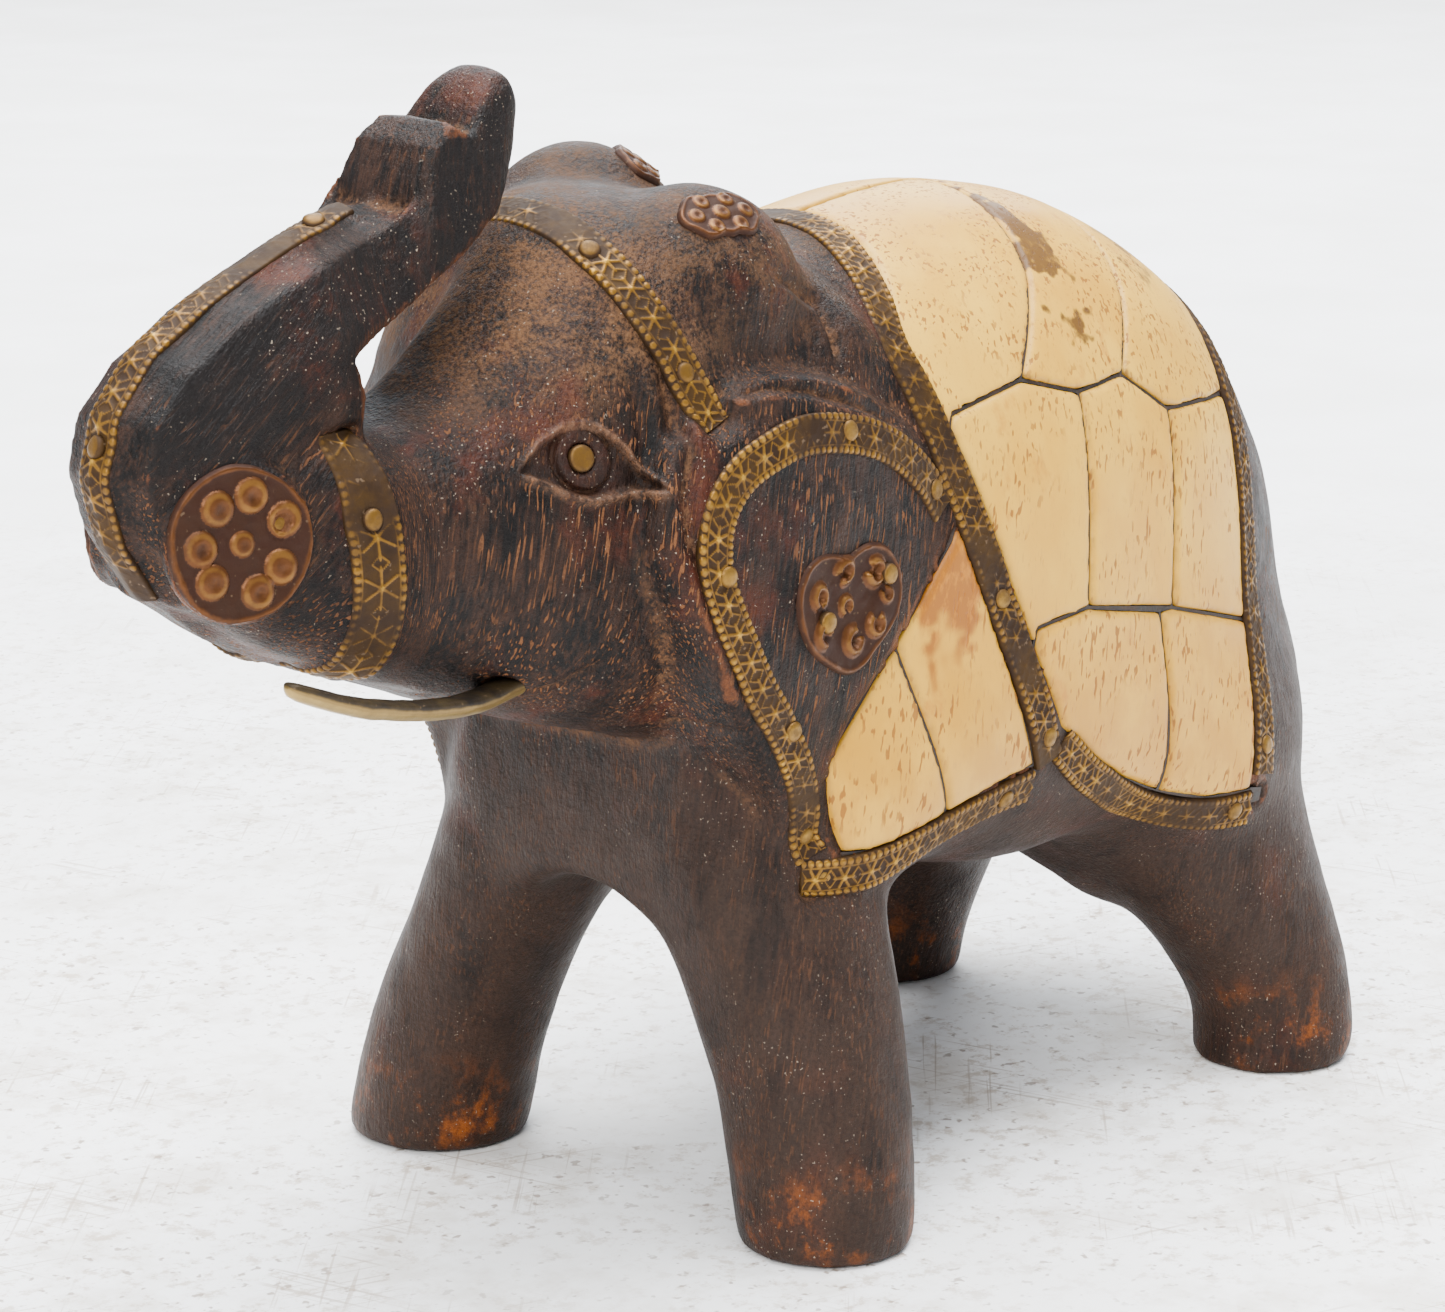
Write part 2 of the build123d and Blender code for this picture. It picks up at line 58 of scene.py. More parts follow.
# Brass strip centre lines as the model has them: (x, z) on the left flank, and half widths.
SADDLE_FRONT_LINE = [
    (7.2, 86), (7.2, 81.0), (5.2, 78.2), (2.4, 72.5), (4.2, 63.6), (9.0, 50.6), (13.6, 38.0), (14.6, 34.9),
]
SADDLE_REAR_LINE = [
    (53.0, 78), (52.8, 70.5), (50.2, 66.5), (48.9, 61), (48.4, 52), (46.8, 40), (45.0, 29.5), (44.6, 27.2),
]
SADDLE_HEM_LINE = [(15.4, 37.2), (19.5, 33.6), (25.0, 30.4), (31.0, 27.7), (37.0, 26.0), (43.6, 25.6)]
EAR_STRIP_LINE = [
    (3.4, 58.8), (0.6, 62.2), (-4.9, 65.8), (-11.5, 67.6), (-17.5, 67.3), (-22.6, 64.8), (-25.0, 60.6),
    (-24.4, 55.6), (-21.4, 49.4), (-17.6, 43.6), (-14.9, 38.4), (-13.5, 32.6),
]
SHOULDER_LINE = [(-15.0, 31.0), (-8.0, 31.0), (1.0, 32.4), (12.6, 34.0)]
HEAD_BAND_LINE = [(-21.6, 68.8), (-23.3, 73.3), (-25.2, 78.4), (-26.4, 82.8), (-26.6, 90)]
STRAP_LINE = [(-52.2, 53.0), (-52.3, 72.2)]
TRUNK_LINE = [
    (-66.5, 60.7), (-69.8, 65.4), (-71.2, 70.5), (-69.9, 75.0), (-66.2, 79.0), (-60, 82.3), (-52.5, 85.2),
    (-45.2, 87.5),
]
STRIP_HALF = 1.7
STRAP_HALF = 2.4
HEAD_BAND_HALF = 1.8
EYE_FRONT = (-39.1, 67.4)
EYE_REAR = (-28.1, 65.0)


# ---------------------------------------------------------------- numbers
def smoothstep(low, high, x):
    t = np.clip((np.asarray(x, float) - low) / (high - low), 0, 1)
    return t * t * (3 - 2 * t)


def bell(x, width):
    return np.exp(-(np.asarray(x, float) / width) ** 2)


def lattice_noise(points, size, seed):
    """Smooth random values from -1 to 1, with features about size millimetres across."""
    count = 32
    grid = np.random.default_rng(seed).uniform(-1, 1, (count,) * 3)
    p = np.asarray(points, float) / size
    cell = np.floor(p).astype(int)
    t = p - cell
    t = t * t * (3 - 2 * t)
    total = np.zeros(len(p))
    for corner in product((0, 1), repeat=3):
        weight = np.prod(np.where(corner, t, 1 - t), axis=1)
        i = (cell + corner) % count
        total += weight * grid[i[:, 0], i[:, 1], i[:, 2]]
    return total


def unit(v):
    v = np.asarray(v, float)
    return v / np.maximum(np.linalg.norm(v, axis=-1, keepdims=True), 1e-9)


def running_mean(values, half):
    """Smooths rows of values along the first axis, keeping both ends."""
    if half < 1:
        return values
    padded = np.concatenate([np.repeat(values[:1], half, 0), values, np.repeat(values[-1:], half, 0)])
    sums = np.cumsum(np.concatenate([np.zeros_like(padded[:1]), padded]), axis=0)
    return (sums[2 * half + 1:] - sums[:-2 * half - 1]) / (2 * half + 1)


def curve_through(points, step):
    """A smooth curve through the points, with even steps."""
    p = np.asarray(points, float)
    if len(p) == 2:
        dense = p
    else:
        ends = np.vstack([2 * p[0] - p[1], p, 2 * p[-1] - p[-2]])
        dense = []
        for a, b, c, d in zip(ends[:-3], ends[1:-2], ends[2:-1], ends[3:]):
            t = np.linspace(0, 1, 40, endpoint=False)[:, None]
            dense.append(0.5 * (2 * b + (c - a) * t + (2 * a - 5 * b + 4 * c - d) * t**2
                                + (3 * b - a - 3 * c + d) * t**3))
        dense = np.vstack(dense + [p[-1:]])
    return even_steps(dense, step)


def even_steps(dense, step):
    lengths = np.concatenate([[0], np.cumsum(np.linalg.norm(np.diff(dense, axis=0), axis=1))])
    count = max(2, int(round(lengths[-1] / step)) + 1)
    at = np.linspace(0, lengths[-1], count)
    return np.column_stack([np.interp(at, lengths, dense[:, k]) for k in range(dense.shape[1])])


# ---------------------------------------------------------------- meshes
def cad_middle(node):
    """The middle of a CAD node's box, in millimetres."""
    low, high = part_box(node)
    return np.array((low + high) / 2) / MM


def smooth_faces(mesh):
    mesh.polygons.foreach_set("use_smooth", np.ones(len(mesh.polygons), bool))


def link(obj):
    bpy.context.scene.collection.objects.link(obj)


def new_object(name, points, faces):
    """A smooth mesh object from points in millimetres."""
    mesh = bpy.data.meshes.new(name)
    mesh.from_pydata((np.asarray(points) * MM).tolist(), [], faces)
    mesh.update()
    obj = bpy.data.objects.new(name, mesh)
    link(obj)
    smooth_faces(mesh)
    return obj


def read_rows(collection, key, width, kind=np.float32):
    values = np.empty(len(collection) * width, kind)
    collection.foreach_get(key, values)
    return values.reshape(-1, width)


def get_points(obj):
    return read_rows(obj.data.vertices, "co", 3).astype(float) / MM


def set_points(obj, co):
    obj.data.vertices.foreach_set("co", (np.asarray(co) * MM).astype(np.float32).ravel())
    obj.data.update()


def get_normals(obj):
    return read_rows(obj.data.vertex_normals, "vector", 3).astype(float)


def get_edges(obj):
    return read_rows(obj.data.edges, "vertices", 2, np.int32)


def side_view(co):
    """The points' x and z, measured from the drawing's own origin."""
    return co[:, 0] - SHIFT, co[:, 2]


def fan_faces(ring):
    """Faces from point 0 to the ring of points that follows it."""
    return [(0, 1 + k, 1 + (k + 1) % ring) for k in range(ring)]


def tube_faces(rows, ring, start=0):
    """Faces between rows of points that each close into a ring."""
    faces = []
    for base in range(start, start + (rows - 1) * ring, ring):
        for k in range(ring):
            a, b = base + k, base + (k + 1) % ring
            faces.append((a, a + ring, b + ring, b))
    return faces


def set_attribute(obj, name, values):
    attribute = obj.data.attributes.get(name) or obj.data.attributes.new(name, "FLOAT", "POINT")
    attribute.data.foreach_set("value", np.asarray(values, np.float32))


def join_nodes(name, names):
    points, faces, start = [], [], 0
    for n in names:
        mesh = NODES[n].data
        points.append(get_points(NODES[n]))
        faces += [[start + v for v in p.vertices] for p in mesh.polygons]
        start += len(mesh.vertices)
    return new_object(name, np.concatenate(points), faces)


def apply_modifiers(obj):
    bpy.context.view_layer.update()
    depsgraph = bpy.context.evaluated_depsgraph_get()
    mesh = bpy.data.meshes.new_from_object(obj.evaluated_get(depsgraph))
    obj.modifiers.clear()
    old = obj.data
    obj.data = mesh
    bpy.data.meshes.remove(old)
    smooth_faces(mesh)


def voxel_remesh(obj, size):
    modifier = obj.modifiers.new("Voxels", "REMESH")
    modifier.mode = "VOXEL"
    modifier.voxel_size = size * MM
    apply_modifiers(obj)


def thin_out(obj, most_triangles):
    obj.data.calc_loop_triangles()
    share = most_triangles / len(obj.data.loop_triangles)
    if share < 1:
        obj.modifiers.new("Thin", "DECIMATE").ratio = share
        apply_modifiers(obj)


def neighbour_mean(co, edges, count):
    total = np.empty_like(co)
    for axis in range(co.shape[1]):
        total[:, axis] = np.bincount(edges[:, 0], co[edges[:, 1], axis], len(co))
        total[:, axis] += np.bincount(edges[:, 1], co[edges[:, 0], axis], len(co))
    return total / count[:, None]


def relaxed(co, edges, weight, steps, grow_back=0.0):
    """Points smoothed where weight is above zero; grow_back undoes most of the shrinking."""
    count = np.bincount(edges.ravel(), minlength=len(co)).clip(1)
    w = np.broadcast_to(np.asarray(weight, float), (len(co),))[:, None]
    for _ in range(steps):
        co = co + 0.6 * w * (neighbour_mean(co, edges, count) - co)
        if grow_back:
            co = co - grow_back * w * (neighbour_mean(co, edges, count) - co)
    return co


class Surface:
    """A fixed copy of a mesh, in millimetres, that rays and nearest points are taken on."""

    def __init__(self, obj):
        faces = [tuple(p.vertices) for p in obj.data.polygons]
        normals = get_normals(obj)
        self.normals = unit(np.array([normals[list(f)].sum(0) for f in faces]))
        self.tree = bvhtree.BVHTree.FromPolygons(get_points(obj).tolist(), faces)

    def nearest(self, points):
        places, normals, distances = [], [], []
        for p in points:
            place, _, index, distance = self.tree.find_nearest(Vector(p))
            places.append(place)
            normals.append(self.normals[index])
            distances.append(distance)
        return np.array(places), np.array(normals), np.array(distances)

    def cast(self, start, direction):
        return self.tree.ray_cast(Vector(start), Vector(direction))[0]


# ---------------------------------------------------------------- the carved wood
def side_coordinates(co, origin, toward):
    """Distances along and across a line in the x-z plane, for points seen from either side."""
    along = unit(np.subtract(toward, origin))
    x, z = side_view(co)
    x, z = x - origin[0], z - origin[1]
    return x * along[0] + z * along[1], z * along[0] - x * along[1]


def eye_relief(co):
    """Lids round a hollow almond, with a round iris that a groove sets off."""
    s, t = side_coordinates(co, EYE_FRONT, EYE_REAR)
    length = np.hypot(EYE_REAR[0] - EYE_FRONT[0], EYE_REAR[1] - EYE_FRONT[1])
    u = np.clip(s / length, 0, 1)
    upper = 4.1 * np.sin(pi * u) ** 0.9
    lower = -1.2 * np.sin(pi * u) ** 2.2
    inside = np.minimum(upper - t, t - lower)
    between = smoothstep(-0.2, 0.9, s) * smoothstep(length + 0.2, length - 0.9, s)
    radius = np.hypot(s - 5.4, t - 1.75)
    hollow = -0.42 * smoothstep(-0.05, 0.5, inside)
    lid = 0.28 * bell(inside + 0.22, 0.30) + 0.16 * bell(t - lower + 0.25, 0.35)
    iris = smoothstep(2.35, 2.1, radius)
    groove = -0.34 * bell(radius - 2.45, 0.24)
    relief = ((hollow + lid) * (1 - iris) - 0.10 * iris + groove) * between
    on_flank = np.abs(co[:, 1]) > 6
    area = np.where(on_flank, between * smoothstep(-0.3, 0.2, inside), 0)
    rim = np.where(on_flank, between * (1 - iris) * bell(inside + 0.2, 0.38), 0)
    return np.where(on_flank, relief, 0), area, rim


def distance_to_line(x, z, line):
    """How far points are from a polyline in the x-z plane, and which side they are on."""
    best = np.full(len(x), 1e9)
    side = np.zeros(len(x))
    for (x0, z0), (x1, z1) in zip(line[:-1], line[1:]):
        dx, dz = x1 - x0, z1 - z0
        t = np.clip(((x - x0) * dx + (z - z0) * dz) / (dx * dx + dz * dz), 0, 1)
        d = np.hypot(x - x0 - t * dx, z - z0 - t * dz)
        closer = d < best
        best = np.where(closer, d, best)
        side = np.where(closer, np.sign((x - x0) * dz - (z - z0) * dx), side)
    return best, side


MOUTH_LINE = [
    (-47.0, 50.2), (-43.5, 49.1), (-40.3, 48.9), (-37.4, 49.3), (-35.1, 49.6), (-33.0, 50.8), (-32.1, 51.1),
]
TAIL_LINE = [(0.0, 60), (0.6, 50), (1.8, 40), (2.2, 33)]


def mouth_relief(co):
    """The cheek overhangs the lower jaw along the mouth."""
    x, z = side_view(co)
    distance, side = distance_to_line(x, z, MOUTH_LINE)
    flank = smoothstep(2, 5, np.abs(co[:, 1])) * (x > -50)
    crease = -0.6 * bell(distance, 0.5)
    below = (z < 51.5) * (side > 0)
    near = smoothstep(0.2, 0.9, distance) * (1 - smoothstep(2.5, 6, distance))
    jaw = -0.55 * near * below * smoothstep(-31.0, -34.0, x)
    return (crease + jaw) * flank


def tail_relief(co):
    """A low tail between two grooves at the back."""
    distance, _ = distance_to_line(co[:, 1], co[:, 2], TAIL_LINE)
    width = 1.6 + 0.7 * smoothstep(40, 34, co[:, 2])
    groove = -0.75 * bell(distance - width, 0.75)
    hair = -0.25 * bell((co[:, 1] * 2.2) % 1 - 0.5, 0.2) * smoothstep(39, 36, co[:, 2]) * (distance < width)
    fade = smoothstep(31, 34, co[:, 2]) * smoothstep(62, 57, co[:, 2]) * (co[:, 0] > 58)
    return (groove + hair) * fade


# Creases are drawn in the x-z plane. Each ridge or groove is (distance to the right, height, half width).
CREASES = [
    ([(-27.0, 74.5), (-26.6, 71.6), (-26.9, 68.1), (-28.2, 64.7), (-28.4, 61.1), (-27.0, 56.7),
      (-22.6, 46.0)],
     [(0.0, 0.30, 0.65), (-1.35, -0.50, 0.60), (1.4, -0.30, 0.60)]),
    ([(-20.5, 69.8), (-20.7, 71.5), (-16.8, 71.9), (-12.4, 71.1), (-8.5, 69.8), (-4.7, 68.3), (-0.4, 66.0)],
     [(0.0, -0.65, 0.50), (1.1, 0.22, 0.60)]),
    ([(-13.4, 80.7), (-7.8, 77.9), (-5.1, 76.5), (-5.2, 73.6), (-6.1, 70.7)],
     [(0.0, -0.60, 0.65), (1.3, 0.28, 0.80)]),
]


def crease_relief(co):
    """The cheek's ridge, the crease behind the ear's rolled rim and the edge of each dome."""
    x, z = side_view(co)
    relief = np.zeros(len(co))
    for line, profile in CREASES:
        distance, side = distance_to_line(x, z, line)
        ends = np.minimum(*(np.hypot(x - end[0], z - end[1]) for end in (line[0], line[-1])))
        fade = smoothstep(0.3, 3.0, ends)
        for offset, height, width in profile:
            relief += height * bell(distance * side - offset, width) * fade
    return relief * smoothstep(9, 12, np.abs(co[:, 1]))


# The gap between the raised trunk and the forehead, in the x-z plane.
GAP_ROOF = [
    (-53.2, 74.6), (-51.4, 76.9), (-49.7, 77.8), (-47.9, 78.9), (-44.1, 80.6), (-38.8, 83.4), (-35.0, 86.0),
]
GAP_FLOOR = [(-53.2, 74.2), (-49, 74.4), (-45, 75.4), (-41.4, 77.8), (-38.4, 79.9), (-35.0, 83.4)]
GAP_MIDDLE = [
    (-56, 72.8), (-53, 74.3), (-49.5, 75.6), (-45, 77.2), (-41, 79.0), (-37, 81.6), (-33.5, 84.6),
    (-31.5, 88), (-29.5, 93),
]
# The forehead's right side goes this far towards the middle and down.
FOREHEAD_FALL = (0, 1.4, 4.4)
# How much less the trunk is smoothed than the rest, which keeps its knuckle sharp.
TRUNK_KEPT = 0.85


def trunk_share(co):
    """1 on the trunk, 0 on the head below it."""
    x, z = side_view(co)
    raised = smoothstep(-0.2, 0.6, z - np.interp(x, *zip(*GAP_MIDDLE))) * smoothstep(-27, -29.5, x)
    return np.maximum(smoothstep(-54, -60, x), raised)


# Grooves across the front of the trunk, in the x-z plane: (x, z, depth, half width).
TRUNK_GROOVES = [(-43.2, 88.2, 1.15, 1.3), (-36.5, 93.0, 0.50, 0.9)]


def trunk_relief(co, normals):
    """A groove at the foot of the knuckle and one behind it, before the tip."""
    x, z = side_view(co)
    relief = np.zeros(len(co))
    for groove_x, groove_z, depth, width in TRUNK_GROOVES:
        relief -= depth * bell(np.hypot(x - groove_x, z - groove_z), width)
    return relief * smoothstep(0.85, 0.5, np.abs(normals[:, 1])) * trunk_share(co)


def open_gap(co):
    """Cut the trunk back behind and lower the forehead on the right, to leave a slit of daylight."""
    x, z = side_view(co)
    inside = (x > GAP_ROOF[0][0]) & (x < GAP_ROOF[-1][0])
    inside &= (z > np.interp(x, *zip(*GAP_FLOOR))) & (z < np.interp(x, *zip(*GAP_ROOF)))
    roof = even_steps(np.array(GAP_ROOF), 0.1)
    gaps = np.hypot(x[inside, None] - roof[None, :, 0], z[inside, None] - roof[None, :, 1])
    nearest = roof[gaps.argmin(1)]
    fall = (1 - trunk_share(co)) * smoothstep(0, 6, co[:, 1]) * smoothstep(66, 74, z)
    fall *= smoothstep(-52, -46, x) * smoothstep(-26, -33, x)
    co = co - fall[:, None] * np.array(FOREHEAD_FALL)
    co[inside, 0] = nearest[:, 0] + SHIFT
    co[inside, 2] = nearest[:, 1]
    return co


def make_skin():
    """The smooth outer skin: the carved body with its inlays, melted together."""
    inlays = [n for n in NODES if "nails" not in n and not n.startswith(("eye", "tusk", "crown", "ear_med"))]
    skin = join_nodes("skin", inlays)
    voxel_remesh(skin, SKIN_VOXEL)
    set_points(skin, open_gap(get_points(skin)))
    voxel_remesh(skin, SKIN_VOXEL)
    co, edges = get_points(skin), get_edges(skin)
    x, z = side_view(co)
    y = np.abs(co[:, 1])
    off_trunk = 1 - TRUNK_KEPT * trunk_share(co)
    co = relaxed(co, edges, off_trunk, 9, 0.5)
    ear = (x > -32) & (x < 7) & (z > 29) & (z < 74) & (y > 13)
    legs = smoothstep(5, 16, z) * smoothstep(44, 32, z) * (x > -26) * ~ear
    crown = smoothstep(73, 78, z) * smoothstep(-37, -31, x) * smoothstep(4, -2, x) * ~ear
    rear = smoothstep(52, 58, x)
    jaw = 0.12 * smoothstep(-40, -30, x) * smoothstep(-12, -18, x) * smoothstep(56, 46, z) * ~ear
    neck = 0.3 * smoothstep(-4, 0, x) * smoothstep(8, 5, x) * smoothstep(56, 60, z) * ~ear
    weight = np.maximum.reduce([legs, crown, rear, jaw, neck, 0.22 * ear])
    co = relaxed(co, edges, weight, 62)
    co = relaxed(co, edges, smoothstep(3.4, 1.2, co[:, 2]), 18)
    co = relaxed(co, edges, off_trunk, 5, 0.5)
    co[:, 2] = np.maximum(co[:, 2], 0.02)
    set_points(skin, co)
    return skin


def refine_near(obj, places, reach):
    """Finer faces round the given places."""
    co = get_points(obj)
    near = np.zeros(len(co), bool)
    for place in places:
        near |= np.linalg.norm(co - place, axis=1) < reach
    mesh = bmesh.new()
    mesh.from_mesh(obj.data)
    mesh.verts.ensure_lookup_table()
    chosen = [e for e in mesh.edges if near[e.verts[0].index] and near[e.verts[1].index]]
    bmesh.ops.subdivide_edges(mesh, edges=chosen, cuts=2, use_grid_fill=True)
    mesh.to_mesh(obj.data)
    mesh.free()
    smooth_faces(obj.data)


def carve(skin, inlay_surface):
    """The wood itself: the skin with carved details, sunk under the inlays."""
    wood = new_object("carved_wood", get_points(skin), [list(p.vertices) for p in skin.data.polygons])
    eyes = [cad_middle(f"eye_stud_{side}") for side in SIDES]
    refine_near(wood, eyes, 8.5)
    co, normals = get_points(wood), get_normals(wood)
    eye, eye_area, lid_area = eye_relief(co)
    relief = eye + mouth_relief(co) + tail_relief(co) + crease_relief(co) + trunk_relief(co, normals)
    relief += 0.16 * lattice_noise(co, 7.0, 3) + 0.05 * lattice_noise(co, 2.2, 4)
    _, tile_normals, distance = inlay_surface.nearest(co)
    under = smoothstep(0.95, 0.45, distance)
    above_ground = smoothstep(0.3, 1.5, co[:, 2])
    co = co + normals * (relief * (1 - under) * above_ground)[:, None]
    co = co - tile_normals * (1.5 * under)[:, None]
    co[:, 2] = np.maximum(co[:, 2], 0.0)
    set_points(wood, co)
    edges = get_edges(wood)
    normals = get_normals(wood)
    fine = np.einsum("ij,ij->i", relaxed(co, edges, 1, 12) - co, normals)
    broad = np.einsum("ij,ij->i", relaxed(co, edges, 1, 60) - co, normals)
    wear = smoothstep(0.05, 0.3, -fine) + smoothstep(0.35, 1.1, -broad)
    cavity = smoothstep(0.03, 0.18, fine) + 0.8 * smoothstep(0.2, 0.8, broad)
    set_attribute(wood, "wear", np.clip(wear, 0, 1))
    set_attribute(wood, "cavity", np.clip(cavity, 0, 1))
    set_attribute(wood, "eye", eye_area)
    set_attribute(wood, "lid", lid_area)
    set_attribute(wood, "trunk", trunk_share(co))
    # Painted shade: this marks the trunk's sides, whose colour is darkened to stand in for the shade on
    # them.
    set_attribute(wood, "trunk_side_painted_shade", trunk_share(co) * smoothstep(0.55, 0.85, np.abs(normals[:, 1])))
    return wood


# ---------------------------------------------------------------- embossed strips
def flank_line(skin, line, side):
    """A line drawn in the x-z plane, laid on one flank of the skin."""
    points = []
    for x, z in curve_through(line, 0.5):
        hit = skin.cast((x + SHIFT, side * 60, z), (0, -side, 0))
        if hit:
            points.append(hit)
    return np.array(points)


def girth_line(skin, line, axis_z, low_z):
    """A strip's line from one flank over the spine to the other, found by rays towards the body's axis."""
    flank = np.array(sorted(line, key=lambda p: p[1]))
    points = []
    first = atan2(low_z - axis_z, 20)
    for angle in np.linspace(first, pi - first, 240):
        outward = np.array([0, -cos(angle), sin(angle)])
        x = flank[len(flank) // 2, 0]
        for _ in range(6):
            hit = skin.cast(np.array([x + SHIFT, 0, axis_z]) + 60 * outward, -outward)
            if hit is None:
                break
            x = 0.5 * x + 0.5 * np.interp(hit[2], flank[:, 1], flank[:, 0])
        if hit is not None and hit[2] >= low_z:
            points.append(hit)
    return running_mean(np.array(points), 3)


def strip_relief(u, v, half, worn):
    """Height in millimetres of the embossing: beads along both borders and six-rayed stars between them."""
    across = v * half
    bead_pitch, bead_radius = 0.74, 0.33
    bead_u = (u / bead_pitch + 0.25 * np.sign(v)) % 1 - 0.5
    bead_v = np.abs(across) - (half - 0.36)
    bead = np.sqrt(np.clip(1 - (bead_u * bead_pitch / bead_radius) ** 2 - (bead_v / bead_radius) ** 2, 0, 1))
    rim = 0.5 * bell(np.abs(across) - (half - 0.74), 0.10)
    star_pitch = 2.7 * half / STRIP_HALF
    reach = half - 0.72
    star_u = ((u / star_pitch) % 1 - 0.5) * star_pitch
    radius = np.hypot(star_u, across)
    angle = np.arctan2(across, star_u)
    ray = (angle / (pi / 3)) % 1
    ray = np.minimum(ray, 1 - ray) * (pi / 3) * radius
    star = bell(ray, 0.12) * smoothstep(reach + 0.2, reach - 0.1, radius) + 0.8 * bell(radius, 0.24)
    link_u = np.abs(star_u) - star_pitch / 2
    diamond = bell(np.abs(link_u) + np.abs(across) * 0.8 - 0.62, 0.10) * (np.abs(across) < reach)
    lines = np.maximum.reduce([bead, rim, 0.85 * star, 0.6 * diamond])
    return lines * worn


def ribbon(name, skin, center, half, seed, wear_low):
    """A closed embossed strip laid on the skin along a centre line."""
    proud, columns, step = 0.34, 33, 0.125
    center = running_mean(even_steps(np.asarray(center), step), 6)
    center, normals, _ = skin.nearest(center)
    center = running_mean(center, 6)
    normals = unit(running_mean(normals, 10))
    along = unit(np.gradient(center, axis=0))
    across = unit(np.cross(normals, along))
    u = np.concatenate([[0], np.cumsum(np.linalg.norm(np.diff(center, axis=0), axis=1))])
    v = np.linspace(-1, 1, columns)
    rows = len(center)
    wander = 0.06 * half * lattice_noise(np.column_stack([u, u * 0, u * 0 + seed]), 4.0, seed)
    spots = center[:, None, :] + across[:, None, :] * (v[None, :, None] * half + wander[:, None, None])
    laid, laid_normals, _ = skin.nearest(spots.reshape(-1, 3))
    laid = laid.reshape(rows, columns, 3)
    laid_normals = unit(running_mean(laid_normals.reshape(rows, columns, 3), 8))
    laid = running_mean(laid, 4)
    flat_u, flat_v = np.repeat(u, columns), np.tile(v * half, rows)
    spots_flat = np.column_stack([flat_u, flat_v, np.full(rows * columns, seed)])
    worn = wear_low + 0.6 * lattice_noise(spots_flat, 5.0, seed + 1)
    worn = np.clip(worn + 0.25 * lattice_noise(spots_flat, 1.2, seed + 2), 0.12, 1)
    relief = strip_relief(spots_flat[:, 0], np.tile(v, rows), half, worn).reshape(rows, columns)
    edge = np.clip((1 - np.abs(v)) * half / 0.22, 0, 1) ** 0.5
    height = proud * (0.35 + 0.65 * edge)[None, :] - 0.14 + 0.17 * relief
    height += 0.03 * lattice_noise(spots_flat, 0.9, seed + 3).reshape(rows, columns)
    top = laid + laid_normals * height[:, :, None]
    under = laid[:, [-1, columns // 2, 0]] - laid_normals[:, [-1, columns // 2, 0]] * 0.75
    rings = np.concatenate([top, under], axis=1)
    ring = columns + 3
    faces = tube_faces(rows, ring)
    faces.append(tuple(range(ring)))
    faces.append(tuple(reversed(range((rows - 1) * ring, rows * ring))))
    obj = new_object(name, rings.reshape(-1, 3), faces)
    set_attribute(obj, "relief", np.concatenate([relief, np.zeros((rows, 3))], axis=1).ravel())
    return obj


def make_strips(skin):
    strips = {}

    def add(name, center, half, seed, wear_low):
        strips[name] = ribbon(name + "_embossed", skin, center, half, seed, wear_low)

    add("saddle_front_strip", girth_line(skin, SADDLE_FRONT_LINE, 45, 34.9), STRIP_HALF, 11, 0.45)
    add("saddle_rear_strip", girth_line(skin, SADDLE_REAR_LINE, 42, 27.2), STRIP_HALF, 12, 0.5)
    add("head_band", girth_line(skin, HEAD_BAND_LINE, 62, 68.8), HEAD_BAND_HALF, 13, 0.6)
    trunk_center = [(x + SHIFT, 0, z) for x, z in curve_through(TRUNK_LINE, 0.4)]
    add("trunk_strip", trunk_center, STRIP_HALF, 14, 0.35)
    lines = {
        "saddle_hem_strip": (SADDLE_HEM_LINE, STRIP_HALF, 0.75),
        "shoulder_strip": (SHOULDER_LINE, STRIP_HALF, 0.75),
        "ear_strip": (EAR_STRIP_LINE, STRIP_HALF, 0.85),
        "trunk_strap": (STRAP_LINE, STRAP_HALF, 0.45),
    }
    for number, (name, (line, half, wear_low)) in enumerate(lines.items()):
        for side, sign in SIDES.items():
            center = flank_line(skin, line, sign)
            add(f"{name}_{side}", center, half, 20 + 2 * number + (sign > 0), wear_low)
    return strips


# ---------------------------------------------------------------- bone tiles
def make_tile(node, seed):
    """A bone tile with rounded edges and a slightly uneven, hand-filed face."""
    tile = join_nodes(node.replace("bone", "tile"), [node])
    voxel_remesh(tile, TILE_VOXEL)
    co, edges = get_points(tile), get_edges(tile)
    start = co.copy()
    co = relaxed(co, edges, 1, 5)
    co = co + get_normals(tile) * (0.07 * lattice_noise(co, 5.0, seed))[:, None]
    set_points(tile, co)
    broad = relaxed(start, edges, 1, 30) - start
    edge = np.linalg.norm(broad, axis=1)
    set_attribute(tile, "edge", smoothstep(0.12, 0.75, edge))
    set_attribute(tile, "tone", np.full(len(co), (seed * 0.618) % 1))
    return tile


# Stains by tile number: (attribute, strength, place from the tile's middle, radii, seed).
STAINS = {
    2: ("brown", 1.0, (-1.5, 0, 2.0), (3.2, 12, 7.0), 71),
    3: ("brown", 0.6, (1, 0, 3.5), (5, 14, 3.0), 73),
    12: ("amber", 1.0, (-0.5, 0, 7.0), (5.5, 9, 6.0), 75),
}


def stain_tile(tile, number):
    """A blotch with a ragged edge, on the tiles that have one."""
    co = get_points(tile)
    stains = {"brown": np.zeros(len(co)), "amber": np.zeros(len(co))}
    if number in STAINS:
        name, strength, offset, radii, seed = STAINS[number]
        center = 0.5 * (co.min(0) + co.max(0)) + np.array(offset)
        distance = np.linalg.norm((co - center) / np.array(radii), axis=1)
        ragged = 0.55 * lattice_noise(co, 2.2, seed) + 0.35 * lattice_noise(co, 0.8, seed + 1)
        stains[name] = strength * smoothstep(1.15, 0.55, distance + ragged)
    for name, amount in stains.items():
        set_attribute(tile, name, amount)


